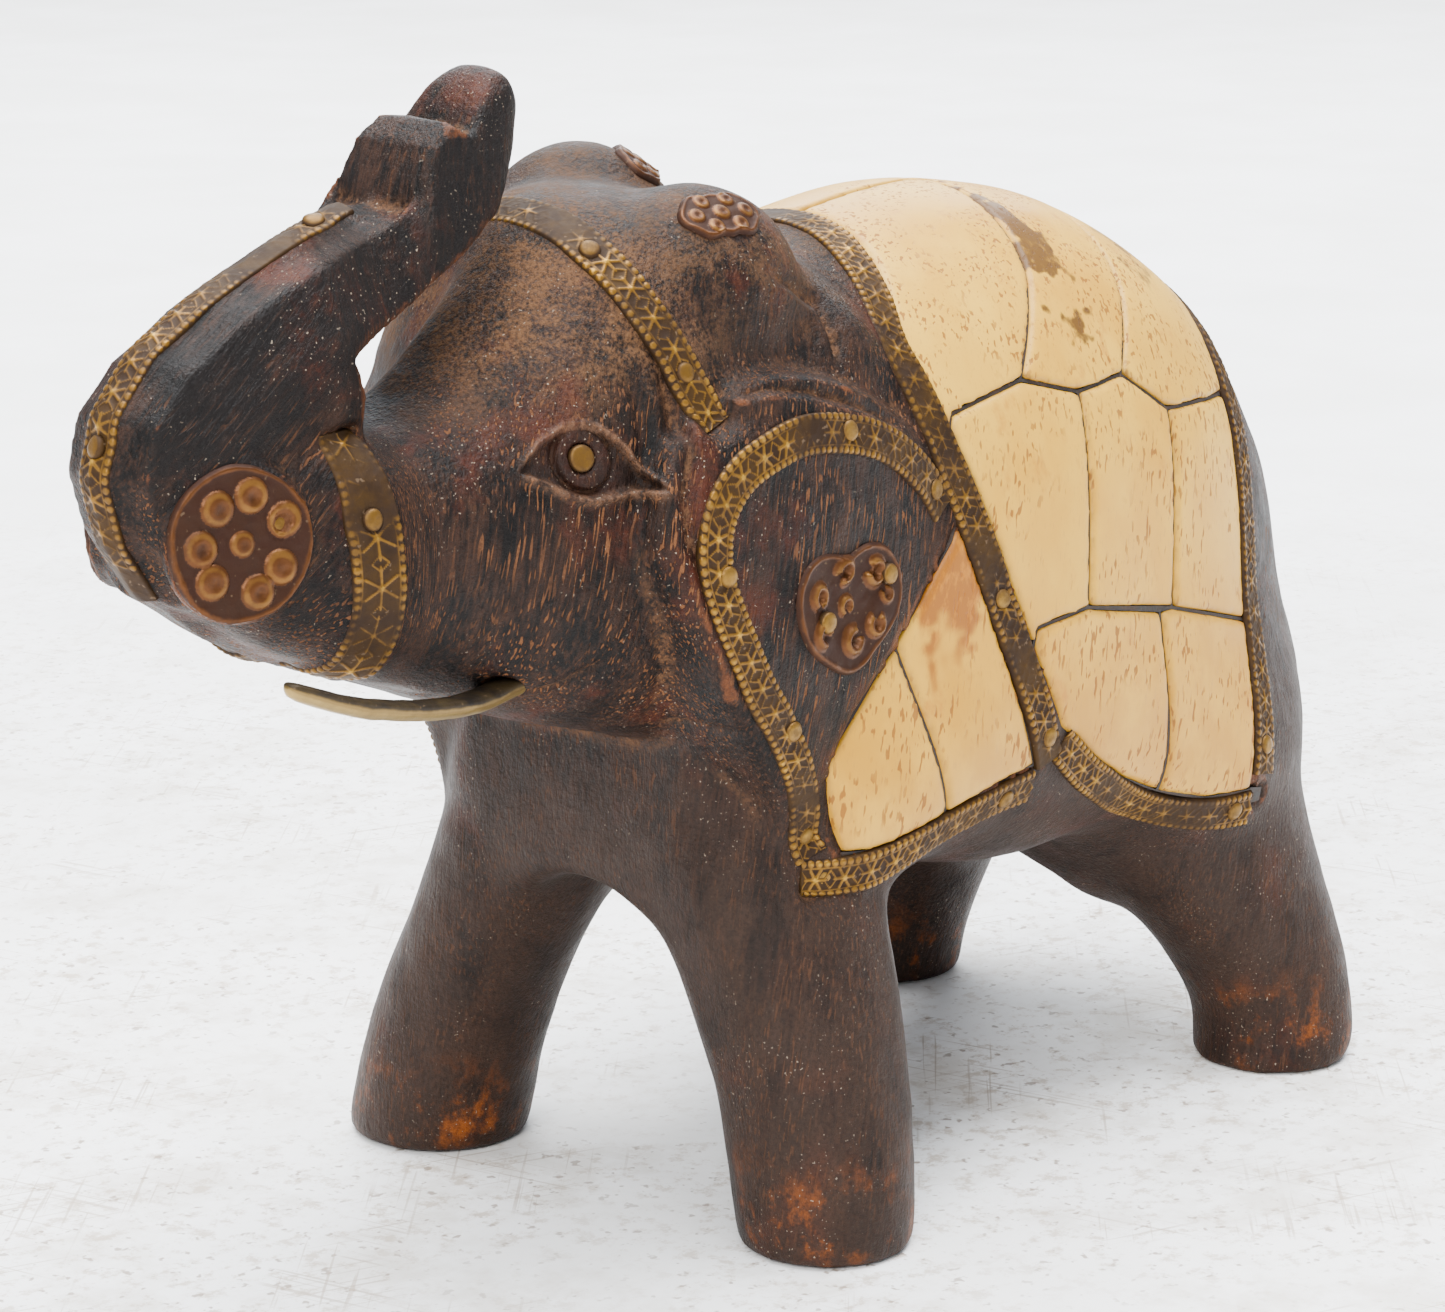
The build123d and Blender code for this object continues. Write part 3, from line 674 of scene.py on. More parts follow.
# ---------------------------------------------------------------- ornaments
PLATE_RISE = 0.3


def plate_frame(node, skin):
    """Where a CAD ornament lies: its middle, outward normal and two directions across it."""
    co = get_points(NODES[node])
    center = 0.5 * (co.min(0) + co.max(0))
    axes = np.linalg.svd(co - co.mean(0), full_matrices=False)[2]
    place, normal, _ = skin.nearest([center])
    out = axes[2] * np.sign(axes[2] @ normal[0])
    upward = unit(np.array([0, 0, 1.0]) - out[2] * out)
    return place[0], out, upward, np.cross(upward, out)


def polar_plate(node, skin, outline, bumps, seed, thickness, scrolled=False, rings=60, spokes=220):
    """A closed embossed plate laid on the skin in a CAD ornament's place; outline gives its radius."""
    center, out, up, right = plate_frame(node, skin)
    angles = np.linspace(0, 2 * pi, spokes, endpoint=False)
    shares = np.linspace(0, 1, rings + 1)[1:, None]
    radius = outline(angles)
    a = np.concatenate([[0], (shares * radius * np.cos(angles)).ravel()])
    b = np.concatenate([[0], (shares * radius * np.sin(angles)).ravel()])
    inset = np.concatenate([[radius.mean()], ((1 - shares) * radius).ravel()])
    relief, value = plate_height(a, b, inset, bumps, seed, scrolled)
    laid, normals, _ = skin.nearest(center + a[:, None] * right + b[:, None] * up)
    normals = unit(normals + 2.0 * out)
    top = laid + normals * relief[:, None]
    skirt = laid[-spokes:] - normals[-spokes:] * thickness
    bottom = laid[:1] - normals[:1] * thickness
    points = np.concatenate([top, skirt, bottom])
    faces = fan_faces(spokes) + tube_faces(rings + 1, spokes, 1)
    last = 1 + rings * spokes
    faces += [(last + i, len(points) - 1, last + (i + 1) % spokes) for i in range(spokes)]
    obj = new_object(node + "_embossed", points, faces)
    set_attribute(obj, "relief", np.concatenate([value, np.zeros(spokes + 1)]))
    return obj


def plate_height(a, b, inset, bumps, seed, scrolled):
    """A rounded border, knobs with dented middles (or open curls where scrolled), and dents from wear."""
    rim = bell(inset - 0.35, 0.22)
    relief = PLATE_RISE * (0.3 + 0.7 * smoothstep(0.0, 0.25, inset)) + 0.10 * rim
    value = 0.55 * rim
    for x, y, radius, dent in bumps:
        d = np.hypot(a - x, b - y) / radius
        knob = np.sqrt(np.clip(1 - d * d, 0, 1))
        if scrolled:
            opening = np.cos(np.arctan2(b - y, a - x) - np.arctan2(y, x) - 2.0)
            knob = 1.25 * bell(d - 0.62, 0.30) * smoothstep(0.96, 0.70, opening) + 0.5 * bell(d, 0.25)
        hole = dent * bell(np.hypot(a - x - 0.15 * radius, b - y + 0.1 * radius) / radius, 0.34)
        relief = relief + radius * 0.30 * (knob - hole)
        value = np.maximum(value, (knob > 0.05) * (0.35 + 0.65 * bell(d - 0.72, 0.26)))
    p = np.column_stack([a, b, np.full(len(a), float(seed))])
    relief = relief + 0.06 * lattice_noise(p, 1.1, seed) + 0.03 * lattice_noise(p, 0.5, seed + 1)
    return relief, np.clip(value + 0.15 * lattice_noise(p, 0.8, seed + 2), 0, 1)


# Knobs and curls are (x, y, radius, depth of the dent in the middle).
DISC_RADIUS = {"left": 5.9, "right": 5.3}
CURLS = [
    (3.3, 2.3, 1.35, 0.9), (-0.6, 3.0, 1.25, 0.9), (-3.9, 1.4, 1.25, 0.9), (-3.6, -1.7, 1.2, 0.8),
    (0.4, -2.9, 1.35, 0.9), (3.1, -2.0, 1.1, 0.8), (-0.4, 0.1, 0.95, 0.5), (4.6, 0.2, 0.8, 0.4),
]


def make_trunk_disc(side, skin):
    size = DISC_RADIUS[side]
    bumps = []
    for k in range(7):
        angle = 2 * pi * (k + 0.15 * sin(3 * k)) / 7 + 0.4
        reach = size * (0.60 + 0.04 * cos(5 * k))
        bumps.append((reach * cos(angle), reach * sin(angle), 0.235 * size, 0.7 if k % 2 else 0.35))
    bumps.append((0, 0, 0.17 * size, 0.3))

    def outline(angles):
        return size * (1 + 0.015 * np.sin(3 * angles + 1) + 0.01 * np.sin(5 * angles))

    return polar_plate(f"trunk_disc_{side}", skin, outline, bumps, 31, 0.8)


def make_ear_medallion(side, skin):
    def outline(angles):
        wide = np.hypot(6.6 * np.cos(angles), 5.0 * np.sin(angles))
        return wide + 0.55 * np.cos(3 * (angles - 0.5)) + 0.12 * np.cos(5 * angles + 1)

    curls = [(-SIDES[side] * x, y, radius, dent) for x, y, radius, dent in CURLS]
    return polar_plate(f"ear_medallion_{side}", skin, outline, curls, 41, 0.6, scrolled=True)


def make_crown_medallion(side, skin):
    def outline(angles):
        return 3.1 + 0.9 * np.cos(2 * angles) + 0.12 * np.cos(8 * angles)

    petals = [(0, 0, 0.8, 0.3)]
    petals += [(2.5 * cos(pi * k / 3), 1.5 * sin(pi * k / 3), 0.75, 0.6) for k in range(6)]
    return polar_plate(f"crown_medallion_{side}", skin, outline, petals, 51, 0.6, rings=40, spokes=160)


# ---------------------------------------------------------------- nails, eyes and tusk
def islands(obj):
    """The separate solids of a CAD node, each as an array of its points."""
    points = get_points(obj)
    label = np.unique(np.round(points, 3), axis=0, return_inverse=True)[1].ravel()
    edges = label[get_edges(obj)]
    root = np.arange(label.max() + 1)
    while True:
        low = np.minimum(root[edges[:, 0]], root[edges[:, 1]])
        new = root.copy()
        np.minimum.at(new, edges[:, 0], low)
        np.minimum.at(new, edges[:, 1], low)
        new = new[new]
        if (new == root).all():
            break
        root = new
    return [points[root[label] == r] for r in np.unique(root)]


def head_frame(points):
    """The top middle of a nail's head, and the direction that it points."""
    center = points.mean(0)
    axis = np.linalg.svd(points - center, full_matrices=False)[2]
    lengths = [np.ptp(points @ a) for a in axis]
    along = axis[int(np.argmax(lengths))]
    t = (points - center) @ along
    radius = np.linalg.norm(points - center - np.outer(t, along), axis=1)
    if np.average(t, weights=radius**4) < 0:
        along, t = -along, -t
    wide = radius > 0.6
    middle = points[wide].mean(0)
    middle = middle + along * (t.max() - (middle - center) @ along)
    return middle, along


def turned_head(middle, along, profile, seed):
    """A hammered round head: profile is (radius, height) from the top middle down to the shank's end."""
    side = unit(np.cross(along, [0.3, 0.5, 0.8]))
    other = np.cross(along, side)
    points = [middle + along * profile[0][1]]
    for radius, height in profile[1:]:
        for k in range(HEAD_SEGMENTS):
            angle = 2 * pi * k / HEAD_SEGMENTS
            points.append(middle + radius * (cos(angle) * side + sin(angle) * other) + height * along)
    points = np.array(points)
    dents = 0.07 * lattice_noise(points, 0.8, seed)
    points = points - dents[:, None] * along
    faces = fan_faces(HEAD_SEGMENTS) + tube_faces(len(profile) - 1, HEAD_SEGMENTS, 1)
    faces.append(tuple(range(len(points) - HEAD_SEGMENTS, len(points))))
    return points, faces


HEAD_SEGMENTS = 28
# An eye stud's top stands this far off the skin.
STUD_RISE = 0.15
NAIL_PROFILE = [
    (0, 0.02), (0.18, 0.015), (0.36, 0.0), (0.52, -0.03), (0.68, -0.09), (0.80, -0.18), (0.87, -0.29),
    (0.90, -0.42), (0.90, -0.75), (0.32, -0.8), (0.3, -2.4),
]
EYE_PROFILE = [
    (0, -0.02), (0.25, -0.05), (0.5, -0.03), (0.72, 0.0), (0.88, -0.02), (1.0, -0.09), (1.08, -0.2),
    (1.1, -0.35), (1.1, -1.6),
]


def make_heads(node, profile, seed, dull, seat=None):
    """A node's nails as one mesh. With a seat, each is moved along its shank to rest on that surface."""
    points, faces, values = [], [], []
    for k, solid in enumerate(islands(NODES[node])):
        middle, along = head_frame(solid)
        if seat:
            place, _, _ = seat.nearest([middle])
            middle = middle - ((middle - place[0]) @ along - STUD_RISE) * along
        p, f = turned_head(middle, along, profile, seed + k)
        start = sum(len(x) for x in points)
        points.append(p)
        faces += [tuple(start + i for i in face) for face in f]
        depth = (middle - p) @ along
        values.append(smoothstep(0.45, 0.05, depth))
    obj = new_object(node + "_heads", np.concatenate(points), faces)
    set_attribute(obj, "relief", np.concatenate(values))
    set_attribute(obj, "dull", np.full(len(obj.data.vertices), dull))
    return obj


TUSK_PATH = [
    (-37.0, -9.4, 50.4), (-43.5, -10.6, 50.3), (-50.0, -11.0, 51.2), (-56.4, -11.1, 52.8),
    (-62.6, -10.6, 55.2),
]
TUSK_SEGMENTS = 26


def make_tusk():
    """A tusk of beaten sheet brass: flat and dark above, a rounded bright edge below."""
    path = curve_through([(x + SHIFT, y, z) for x, y, z in TUSK_PATH], 0.25)
    along = unit(np.gradient(path, axis=0))
    share = np.linspace(0, 1, len(path))
    radius = np.interp(share, [0, 0.35, 0.75, 0.95, 0.985, 1.0], [1.25, 1.22, 1.15, 1.0, 0.8, 0.3])
    side = unit(np.cross(along, [0, 0, 1.0]))
    up = np.cross(side, along)
    rows, value = [], []
    for k in range(TUSK_SEGMENTS):
        angle = 2 * pi * k / TUSK_SEGMENTS
        a, b = cos(angle), sin(angle)
        b = 0.42 * np.sign(b) * abs(b) ** 0.6 if b > 0 else b
        rows.append(path + (radius * a)[:, None] * side + (radius * b * 0.95)[:, None] * up)
        value.append(np.full(len(path), smoothstep(0.1, -0.55, b)))
    points = np.stack(rows, axis=1).reshape(-1, 3)
    points = points + 0.05 * np.column_stack([lattice_noise(points, 1.4, 61 + k) for k in range(3)])
    faces = tube_faces(len(path), TUSK_SEGMENTS)
    faces.append(tuple(range(TUSK_SEGMENTS)))
    faces.append(tuple(reversed(range(len(points) - TUSK_SEGMENTS, len(points)))))
    obj = new_object("tusk_beaten_brass", points, faces)
    set_attribute(obj, "relief", np.stack(value, axis=1).ravel())
    return obj


# ---------------------------------------------------------------- materials
class Shader:
    """A material's node tree, built from short calls. Values may be numbers, colours or sockets."""

    def __init__(self, name):
        self.material = bpy.data.materials.new(name)
        self.material.use_nodes = True
        self.tree = self.material.node_tree
        self.surface = self.tree.nodes["Principled BSDF"]
        position = self.add("TexCoord").outputs["Object"]
        self.place = self.vector("SCALE", position, Scale=1 / MM)

    def add(self, kind, **settings):
        made = self.tree.nodes.new("ShaderNode" + kind)
        for key, value in settings.items():
            setattr(made, key, value)
        return made

    def put(self, socket, value):
        if isinstance(value, bpy.types.NodeSocket):
            self.tree.links.new(value, socket)
        elif isinstance(value, tuple) and len(value) == 3 and socket.type == "RGBA":
            socket.default_value = (*value, 1)
        else:
            socket.default_value = value

    def vector(self, operation, a, b=None, Scale=None):
        made = self.add("VectorMath", operation=operation)
        self.put(made.inputs[0], a)
        if b is not None:
            self.put(made.inputs[1], b)
        if Scale is not None:
            made.inputs["Scale"].default_value = Scale
        return made.outputs[0]

    def math(self, operation, a, b):
        made = self.add("Math", operation=operation)
        self.put(made.inputs[0], a)
        self.put(made.inputs[1], b)
        return made.outputs[0]

    def times(self, a, *others):
        for b in others:
            a = self.math("MULTIPLY", a, b)
        return a

    def plus(self, a, *others):
        for b in others:
            a = self.math("ADD", a, b)
        return a

    def minus(self, a, b):
        return self.math("SUBTRACT", a, b)

    def most(self, a, *others):
        for b in others:
            a = self.math("MAXIMUM", a, b)
        return a

    def axes(self):
        """The place's x, y and z in millimetres."""
        parts = self.add("SeparateXYZ")
        self.put(parts.inputs[0], self.place)
        return parts.outputs

    def turned(self, degrees, axis=(0, 1, 0)):
        made = self.add("VectorRotate", rotation_type="AXIS_ANGLE")
        self.put(made.inputs["Vector"], self.place)
        made.inputs["Axis"].default_value = axis
        made.inputs["Angle"].default_value = radians(degrees)
        return made.outputs[0]

    def noise(self, size, detail, rough, tall=1, vector=None, wide=1, deep=1):
        """Noise from 0 to 1 with features about size millimetres across, drawn out along each axis."""
        scale = tuple(1 / (size * s) for s in (wide, deep, tall))
        made = self.add("TexNoise")
        self.put(made.inputs["Vector"], self.vector("MULTIPLY", vector or self.place, scale))
        made.inputs["Scale"].default_value = 1.0
        made.inputs["Detail"].default_value = detail
        made.inputs["Roughness"].default_value = rough
        return made.outputs["Fac"]

    def attribute(self, name):
        return self.add("Attribute", attribute_name=name).outputs["Fac"]

    def step(self, value, low, high, out_low=0.0, out_high=1.0):
        made = self.add("MapRange", interpolation_type="SMOOTHSTEP")
        self.put(made.inputs["Value"], value)
        names = ("From Min", "From Max", "To Min", "To Max")
        for name, number in zip(names, (low, high, out_low, out_high)):
            made.inputs[name].default_value = number
        return made.outputs["Result"]

    def mix(self, share, a, b):
        made = self.add("Mix", data_type="RGBA")
        self.put(made.inputs["Factor"], share)
        self.put(made.inputs[6], a)
        self.put(made.inputs[7], b)
        return made.outputs[2]

    def tint(self, color, share, strength, other):
        """The color, drawn towards another one."""
        return self.mix(self.times(share, strength), color, other)

    def blend(self, share, a, b):
        """A number between a and b."""
        made = self.add("Mix", data_type="FLOAT")
        self.put(made.inputs["Factor"], share)
        self.put(made.inputs[2], a)
        self.put(made.inputs[3], b)
        return made.outputs[0]

    def bump(self, height, depth, strength):
        made = self.add("Bump")
        self.put(made.inputs["Height"], height)
        made.inputs["Distance"].default_value = depth * MM
        made.inputs["Strength"].default_value = strength
        return made.outputs["Normal"]

    def finish(self, **values):
        names = {"color": "Base Color", "rough": "Roughness", "metal": "Metallic", "normal": "Normal",
                 "specular": "Specular IOR Level"}
        for key, value in values.items():
            self.put(self.surface.inputs[names.get(key, key)], value)
        return self.material


WOOD = {
    "dark": (0.0018, 0.0014, 0.0014),
    "brown": (0.027, 0.0120, 0.0070),
    "red": (0.060, 0.0125, 0.0048),
    "leg": (0.030, 0.0165, 0.0110),
    "worn": (0.115, 0.036, 0.0115),
    "foot": (0.22, 0.055, 0.005),
    "pore": (0.155, 0.062, 0.025),
    "dust": (0.125, 0.060, 0.026),
    "settled": (0.125, 0.060, 0.028),
    "eye": (0.012, 0.0060, 0.0042),
    "lid": (0.17, 0.085, 0.046),
    # The trunk's sides: a near-black colour painted on as shade.
    "trunk_side_painted_shade": (0.0045, 0.0032, 0.0030),
    "speck": (0.30, 0.24, 0.18),
    "grit": (0.003, 0.002, 0.002),
}
# The grain leans by these angles on the body and on the trunk.
BODY_GRAIN = -13
TRUNK_GRAIN = -52


def wood_material():
    s = Shader("dark_wood_waxed")
    x, _, z = s.axes()
    lean = s.add("Mix", data_type="VECTOR")
    s.put(lean.inputs["Factor"], s.step(x, -46, -52))
    s.put(lean.inputs[4], s.turned(BODY_GRAIN))
    s.put(lean.inputs[5], s.turned(TRUNK_GRAIN))
    grain = lean.outputs[1]
    fibre = s.noise(0.40, 3, 0.6, 12, grain)
    figure = s.noise(3.8, 4, 0.62, 3.0, grain)
    patches = s.noise(8, 5, 0.65, 1.4)
    grit = s.noise(0.33, 3, 0.7)
    tone = s.plus(s.times(figure, 0.5), s.times(fibre, 0.5))
    color = s.mix(s.step(tone, 0.40, 0.64), WOOD["dark"], WOOD["brown"])
    color = s.mix(s.step(patches, 0.52, 0.68, 0, 0.60), color, WOOD["red"])
    legs = s.times(s.step(z, 46, 32), s.step(s.noise(5.0, 4, 0.65, 1.5), 0.30, 0.60, 0.25, 0.75))
    color = s.mix(legs, color, WOOD["leg"])
    ragged = s.noise(1.3, 5, 0.75, 2.2, grain)
    worn = s.step(s.plus(s.times(s.attribute("wear"), 0.42), s.times(ragged, 0.80)), 0.60, 0.84)
    color = s.tint(color, worn, 0.75, WOOD["worn"])
    rubbed = s.step(s.noise(4.2, 5, 0.72, 1.3), 0.50, 0.68)
    foot = s.times(s.step(z, 11, 2), s.step(z, 0.2, 2.4, 0.25, 1), rubbed)
    color = s.tint(color, foot, 0.85, WOOD["foot"])
    cluster = s.step(s.noise(6, 2, 0.5, 1.5), 0.38, 0.58, 0.12, 1.0)
    below = s.times(s.step(z, 78, 68, 0.2, 1.0), s.step(z, 36, 48, 0.24, 1.0))
    pore = s.times(s.step(s.noise(0.22, 0, 0.4, 12, grain), 0.625, 0.69), cluster, below)
    color = s.tint(color, pore, 0.80, WOOD["pore"])
    forehead = s.times(s.step(z, 69, 77), s.times(s.step(x, -48, -40), s.step(x, -13, -27)))
    crown = s.times(s.step(z, 72, 82, 0, 0.6), s.step(x, -31, -27))
    powder = s.step(s.plus(s.noise(4.2, 5, 0.72), s.times(s.minus(grit, 0.5), 0.75)), 0.36, 0.70)
    dusty = s.times(s.most(forehead, crown), powder, s.minus(1.0, s.attribute("trunk")))
    color = s.tint(color, dusty, 0.72, WOOD["dust"])
    crumbs = s.step(s.plus(s.times(s.noise(1.1, 3, 0.7), 0.6), s.times(grit, 0.4)), 0.40, 0.60)
    settled = s.times(s.attribute("cavity"), crumbs)
    color = s.tint(color, settled, 0.60, WOOD["settled"])
    color = s.tint(color, s.attribute("eye"), 0.65, WOOD["eye"])
    color = s.tint(color, s.attribute("lid"), s.step(ragged, 0.38, 0.64, 0.05, 0.72), WOOD["lid"])
    # Painted shade: the trunk's sides are darkened in colour, by a ragged share, as if the light left them
    # in shade.
    painted_shade_strength = s.step(ragged, 0.66, 0.42, 0.25, 0.9)
    color = s.tint(color, s.attribute("trunk_side_painted_shade"), painted_shade_strength, WOOD["trunk_side_painted_shade"])
    specks = s.times(s.step(s.noise(0.21, 0, 0.5), 0.77, 0.81), s.step(patches, 0.42, 0.6))
    color = s.tint(color, specks, 0.7, WOOD["speck"])
    color = s.mix(s.step(grit, 0.30, 0.62, 0.42, 0.0), color, WOOD["grit"])
    rough = s.blend(s.noise(2.6, 4, 0.65), 0.30, 0.68)
    rough = s.blend(s.most(pore, dusty, settled), rough, 0.82)
    height = s.minus(s.times(fibre, 0.55), s.times(pore, 0.6))
    height = s.plus(height, s.times(s.noise(1.1, 5, 0.72), 0.9), s.times(grit, 0.45))
    return s.finish(color=color, rough=rough, normal=s.bump(height, 0.24, 1.0), specular=0.12)


BONE = {
    "cream": (0.50, 0.245, 0.012),
    "pale": (0.60, 0.335, 0.030),
    "palest": (0.66, 0.41, 0.060),
    "low": (0.40, 0.185, 0.010),
    "ochre": (0.36, 0.13, 0.010),
    "fleck": (0.19, 0.060, 0.006),
    "fine": (0.27, 0.135, 0.04),
    "brown": (0.085, 0.036, 0.006),
    "amber": (0.34, 0.115, 0.006),
    "burnt": (0.13, 0.036, 0.005),
    "edge": (0.055, 0.024, 0.009),
}
# Flecks and fine lines in the bone lean by these angles.
FLECK_LEAN = -14
LINE_LEAN = -10


def bone_material():
    s = Shader("aged_bone")
    _, _, z = s.axes()
    cloud = s.noise(7, 3, 0.55, 1.6)
    color = s.mix(s.step(cloud, 0.3, 0.7), BONE["cream"], BONE["pale"])
    color = s.tint(color, s.attribute("tone"), 0.30, BONE["palest"])
    low = s.times(s.step(z, 60, 36), s.step(s.noise(6, 4, 0.65, 1.4), 0.34, 0.62, 0.35, 0.8))
    color = s.mix(low, color, BONE["low"])
    ochre = s.step(s.noise(3.4, 4, 0.7, 1.6), 0.55, 0.78)
    color = s.tint(color, ochre, 0.65, BONE["ochre"])
    dashes = s.noise(0.40, 1, 0.5, 3.6, s.turned(FLECK_LEAN))
    flecks = s.times(s.step(dashes, 0.585, 0.64), s.step(s.noise(5, 2, 0.5), 0.38, 0.56))
    color = s.tint(color, flecks, 0.8, BONE["fleck"])
    fine = s.step(s.noise(0.22, 1, 0.5, 6, s.turned(LINE_LEAN)), 0.63, 0.72)
    color = s.tint(color, fine, 0.22, BONE["fine"])
    brown, amber = s.attribute("brown"), s.attribute("amber")
    broken = s.step(s.noise(0.9, 3, 0.7, 2, s.turned(FLECK_LEAN)), 0.34, 0.52)
    blotch = s.step(s.plus(s.times(brown, 0.55), s.noise(2.4, 4, 0.7, 1.7)), 0.74, 1.02)
    color = s.tint(color, s.math("MINIMUM", s.times(brown, 2.0), 0.95), blotch, BONE["brown"])
    color = s.tint(color, amber, 0.9, BONE["amber"])
    color = s.tint(color, s.times(amber, broken), 0.5, BONE["burnt"])
    edge = s.attribute("edge")
    dirty = s.times(edge, s.step(s.noise(1.2, 3, 0.6), 0.30, 0.66, 0.35, 1.0))
    color = s.tint(color, dirty, 0.85, BONE["edge"])
    rough = s.blend(s.most(flecks, edge), s.blend(cloud, 0.26, 0.46), 0.6)
    height = s.minus(s.times(s.noise(1.8, 3, 0.5, 2), 0.6), s.times(flecks, 0.6))
    return s.finish(color=color, rough=rough, normal=s.bump(height, 0.07, 0.6), specular=0.22)


GRIME = (0.016, 0.008, 0.005)
BRASS_DUST = (0.13, 0.085, 0.050)


def brass_material(name, low, high, bright, grime, metal, roughest=0.62):
    """Aged brass: dark in its hollows, rubbed bright on its high places."""
    s = Shader(name)
    uneven = s.times(s.minus(s.noise(1.3, 4, 0.65), 0.5), 0.5)
    lift = s.minus(s.plus(s.attribute("relief"), uneven), s.attribute("dull"))
    raised = s.step(lift, 0.10, 0.60)
    olive = tuple(0.55 * a + 0.16 * b for a, b in zip(low, high))
    hollow = s.mix(s.step(s.noise(3.0, 3, 0.6), 0.35, 0.65), low, olive)
    color = s.mix(raised, hollow, high)
    color = s.mix(s.step(lift, 0.7, 1.15, 0, 0.8), color, bright)
    dirt = s.step(s.noise(2.2, 4, 0.7), 0.62 - 0.25 * grime, 0.80 - 0.2 * grime)
    color = s.tint(color, dirt, 0.65 * grime, GRIME)
    dust = s.times(s.step(s.noise(0.5, 1, 0.5), 0.68, 0.76), s.minus(1.0, raised))
    color = s.tint(color, dust, 0.5, BRASS_DUST)
    clean = s.minus(1.0, s.times(dirt, 0.8 * grime))
    shine = s.times(s.blend(raised, 0.25, metal), clean)
    rough = s.blend(raised, roughest, 0.36)
    rough = s.blend(s.most(dust, s.times(dirt, grime)), rough, 0.75)
    normal = s.bump(s.noise(0.45, 3, 0.6), 0.05, 0.6)
    return s.finish(color=color, metal=shine, rough=rough, normal=normal, specular=0.15)


def lac_material():
    s = Shader("dark_lac")
    cloud = s.noise(1.6, 4, 0.65)
    color = s.mix(s.step(cloud, 0.35, 0.7), (0.006, 0.0035, 0.0025), (0.030, 0.014, 0.007))
    grit = s.step(s.noise(0.35, 1, 0.5), 0.66, 0.75)
    color = s.tint(color, grit, 0.5, (0.09, 0.052, 0.027))
    normal = s.bump(s.noise(0.6, 4, 0.6), 0.12, 0.8)
    return s.finish(color=color, rough=s.blend(cloud, 0.55, 0.85), normal=normal)


TABLE = {
    "shade": (0.86, 0.855, 0.845),
    "white": (0.93, 0.93, 0.935),
    "smudge": (0.56, 0.51, 0.44),
    "rubbed": (0.42, 0.33, 0.24),
    "rust": (0.20, 0.135, 0.085),
    "scratch": (0.36, 0.28, 0.21),
}
SCRATCH_TURNS = (22, -38, 80)


def table_material():
    """A pale painted table top with rubbed spots, scratches and rusty specks near the figure."""
    s = Shader("pale_table")
    x, y, _ = s.axes()
    focus = s.step(s.plus(s.times(x, 0.76), s.times(y, 0.65)), 330, 60)
    wide = s.noise(46, 4, 0.6)
    color = s.mix(s.step(wide, 0.3, 0.7), TABLE["shade"], TABLE["white"])
    soft = s.times(s.step(s.noise(17, 5, 0.7), 0.46, 0.66), s.times(focus, 0.55))
    color = s.mix(soft, color, TABLE["smudge"])
    sharp = s.times(s.step(s.noise(2.6, 5, 0.75), 0.50, 0.64), s.step(wide, 0.34, 0.56), focus)
    color = s.tint(color, sharp, 0.7, TABLE["rubbed"])
    spots = s.times(s.step(s.noise(1.5, 2, 0.6), 0.62, 0.69), s.step(wide, 0.32, 0.54), focus)
    color = s.tint(color, spots, 0.75, TABLE["rust"])
    for turn in SCRATCH_TURNS:
        line = s.noise(1.1, 2, 0.5, vector=s.turned(turn, (0, 0, 1)), wide=26, deep=0.5)
        scratch = s.times(s.step(line, 0.61, 0.67), s.step(s.noise(19, 2, 0.5), 0.52, 0.62), focus)
        color = s.tint(color, scratch, 0.6, TABLE["scratch"])
    normal = s.bump(s.noise(3.0, 4, 0.6), 0.12, 0.4)
    return s.finish(color=color, rough=s.blend(wide, 0.55, 0.72), normal=normal)


def paint(obj, material):
    obj.data.materials.clear()
    obj.data.materials.append(material)


# ---------------------------------------------------------------- the scene round it
CAMERA_BACK = (-0.7404, -0.6270, 0.2419)
CAMERA_RIGHT = (0.6463, -0.7631, 0.0)
CAMERA_TARGET = (-0.81 + SHIFT, 0, 44.0)
CAMERA_DISTANCE = 383.75
CAMERA_LENS = 112.1
SENSOR_WIDTH = 36


def place_camera():
    back, right = Vector(CAMERA_BACK), Vector(CAMERA_RIGHT)
    up = back.cross(right)
    camera = bpy.data.objects.new("camera", bpy.data.cameras.new("camera"))
    camera.data.sensor_width = SENSOR_WIDTH
    camera.data.lens = CAMERA_LENS
    camera.data.clip_start = 0.01
    camera.matrix_world = Matrix((
        (right.x, up.x, back.x, 0), (right.y, up.y, back.y, 0), (right.z, up.z, back.z, 0), (0, 0, 0, 1),
    ))
    camera.location = Vector(CAMERA_TARGET) * MM + back * CAMERA_DISTANCE * MM
    link(camera)
    bpy.context.scene.camera = camera


def area_light(name, place, target, size, power, color):
    light = bpy.data.lights.new(name, "AREA")
    light.shape = "RECTANGLE"
    light.size, light.size_y = size
    light.energy = power
    light.color = color
    obj = bpy.data.objects.new(name, light)
    obj.location = place
    obj.rotation_euler = (Vector(target) - Vector(place)).to_track_quat("-Z", "Y").to_euler()
    link(obj)


# Lights are (name, place, target, size, power, colour), in metres and watts.
FIGURE_MIDDLE = (0, 0, 0.045)
LIGHTS = [
    ("sky", (0.25, 0.2, 2.0), (0.25, 0.2, 0), (2.0, 2.0), 235.0, (0.97, 0.985, 1.0)),
    ("front_window", (-0.75, -0.35, 0.55), FIGURE_MIDDLE, (0.45, 0.45), 13.0, (1.0, 0.985, 0.96)),
    ("rear_fill", (0.6, 0.5, 0.5), FIGURE_MIDDLE, (0.6, 0.5), 6.0, (0.92, 0.96, 1.0)),
]
WORLD_COLOR = (0.86, 0.92, 1.0, 1)
WORLD_STRENGTH = 0.80
TABLE_SIZE = 3000
TABLE_LEVEL = -0.02


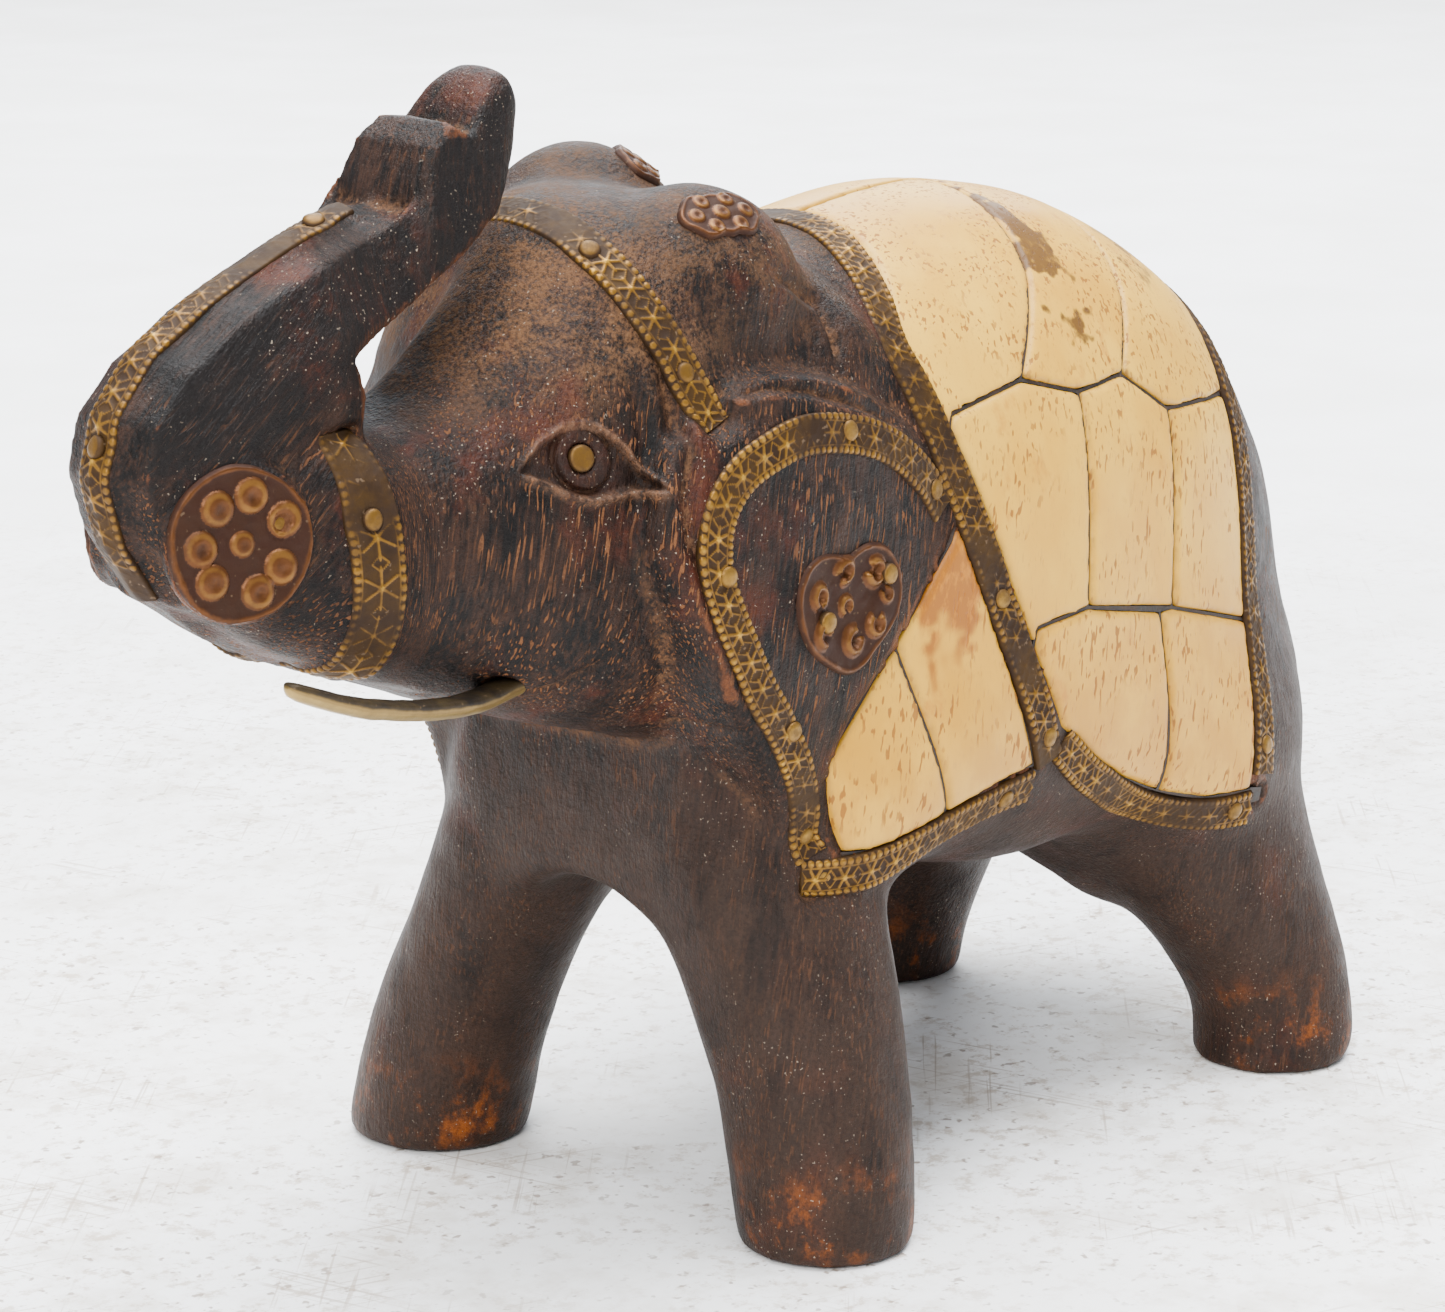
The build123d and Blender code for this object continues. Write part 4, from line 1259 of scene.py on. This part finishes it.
def light_the_scene():
    world = bpy.data.worlds.new("studio")
    world.use_nodes = True
    background = world.node_tree.nodes["Background"]
    background.inputs["Color"].default_value = WORLD_COLOR
    background.inputs["Strength"].default_value = WORLD_STRENGTH
    bpy.context.scene.world = world
    for light in LIGHTS:
        area_light(*light)


def make_table():
    count = 2
    grid = np.linspace(-TABLE_SIZE / 2, TABLE_SIZE / 2, count + 1)
    points = [(x, y, TABLE_LEVEL) for y in grid for x in grid]
    corners = [i * (count + 1) + j for i in range(count) for j in range(count)]
    faces = [(a, a + 1, a + count + 2, a + count + 1) for a in corners]
    table = new_object("table_top", points, faces)
    paint(table, table_material())


def show(obj, material, nodes):
    """Hand a finished piece over: its material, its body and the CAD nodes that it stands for."""
    paint(obj, material)
    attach(obj, "root")
    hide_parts(*nodes)


# Brass colours are (in the hollows, raised, rubbed bright).
STRIP_BRASS = ((0.018, 0.0085, 0.0032), (0.150, 0.072, 0.0095), (0.36, 0.20, 0.024))
ORNAMENT_BRASS = ((0.022, 0.0075, 0.0038), (0.070, 0.025, 0.0070), (0.17, 0.078, 0.016))
NAIL_BRASS = ((0.03, 0.014, 0.005), (0.12, 0.060, 0.010), (0.29, 0.165, 0.030))
TUSK_BRASS = ((0.012, 0.009, 0.007), (0.17, 0.110, 0.038), (0.32, 0.22, 0.075))
# How far the rubbed shine is lost on the front nails, the other nails and the eye studs.
FRONT_NAIL_DULL = 0.5
NAIL_DULL = 0.12
EYE_DULL = 0.62
# Shoulder tiles are numbered after the saddle's.
SHOULDER_START = 10


def make_tiles():
    bone = bone_material()
    for node in sorted(n for n in NODES if "bone" in n):
        number = int(node[-1]) + (SHOULDER_START if "shoulder" in node else 0)
        tile = make_tile(node, number)
        stain_tile(tile, number)
        show(tile, bone, [node])


def make_ornaments(skin):
    brass = brass_material("ornament_brass", *ORNAMENT_BRASS, 0.5, 0.5)
    makers = {
        "trunk_disc": make_trunk_disc,
        "ear_medallion": make_ear_medallion,
        "crown_medallion": make_crown_medallion,
    }
    for side in SIDES:
        for node, maker in makers.items():
            show(maker(side, skin), brass, [f"{node}_{side}"])


def make_nails(skin):
    brass = brass_material("rubbed_nail_brass", *NAIL_BRASS, 0.75, 0.5)
    for number, node in enumerate(sorted(n for n in NODES if "nails" in n)):
        dull = FRONT_NAIL_DULL if node.startswith(("head_band", "trunk")) else NAIL_DULL
        show(make_heads(node, NAIL_PROFILE, 80 + number, dull), brass, [node])
    for side in SIDES:
        node = f"eye_stud_{side}"
        show(make_heads(node, EYE_PROFILE, 60, EYE_DULL, skin), brass, [node])


def main():
    place_camera()
    light_the_scene()
    make_table()

    skin = make_skin()
    skin_surface = Surface(skin)
    lac_beds = sorted(n for n in NODES if "lac_bed" in n)
    inlays = join_nodes("inlays", [n for n in NODES if "bone" in n or n in lac_beds])
    voxel_remesh(inlays, INLAY_VOXEL)
    wood = carve(skin, Surface(inlays))
    thin_out(wood, MOST_WOOD_TRIANGLES)
    show(wood, wood_material(), ["carved_body"])

    make_tiles()
    strip_brass = brass_material("embossed_brass", *STRIP_BRASS, 0.7, 0.45)
    for node, strip in make_strips(skin_surface).items():
        show(strip, strip_brass, [node])
    make_ornaments(skin_surface)
    make_nails(skin_surface)
    show(make_tusk(), brass_material("tusk_brass", *TUSK_BRASS, 0.25, 0.8, 0.5), ["tusk_left"])

    lac = lac_material()
    for node in lac_beds:
        paint(NODES[node], lac)
    for helper in (skin, inlays):
        bpy.data.objects.remove(helper)


main()
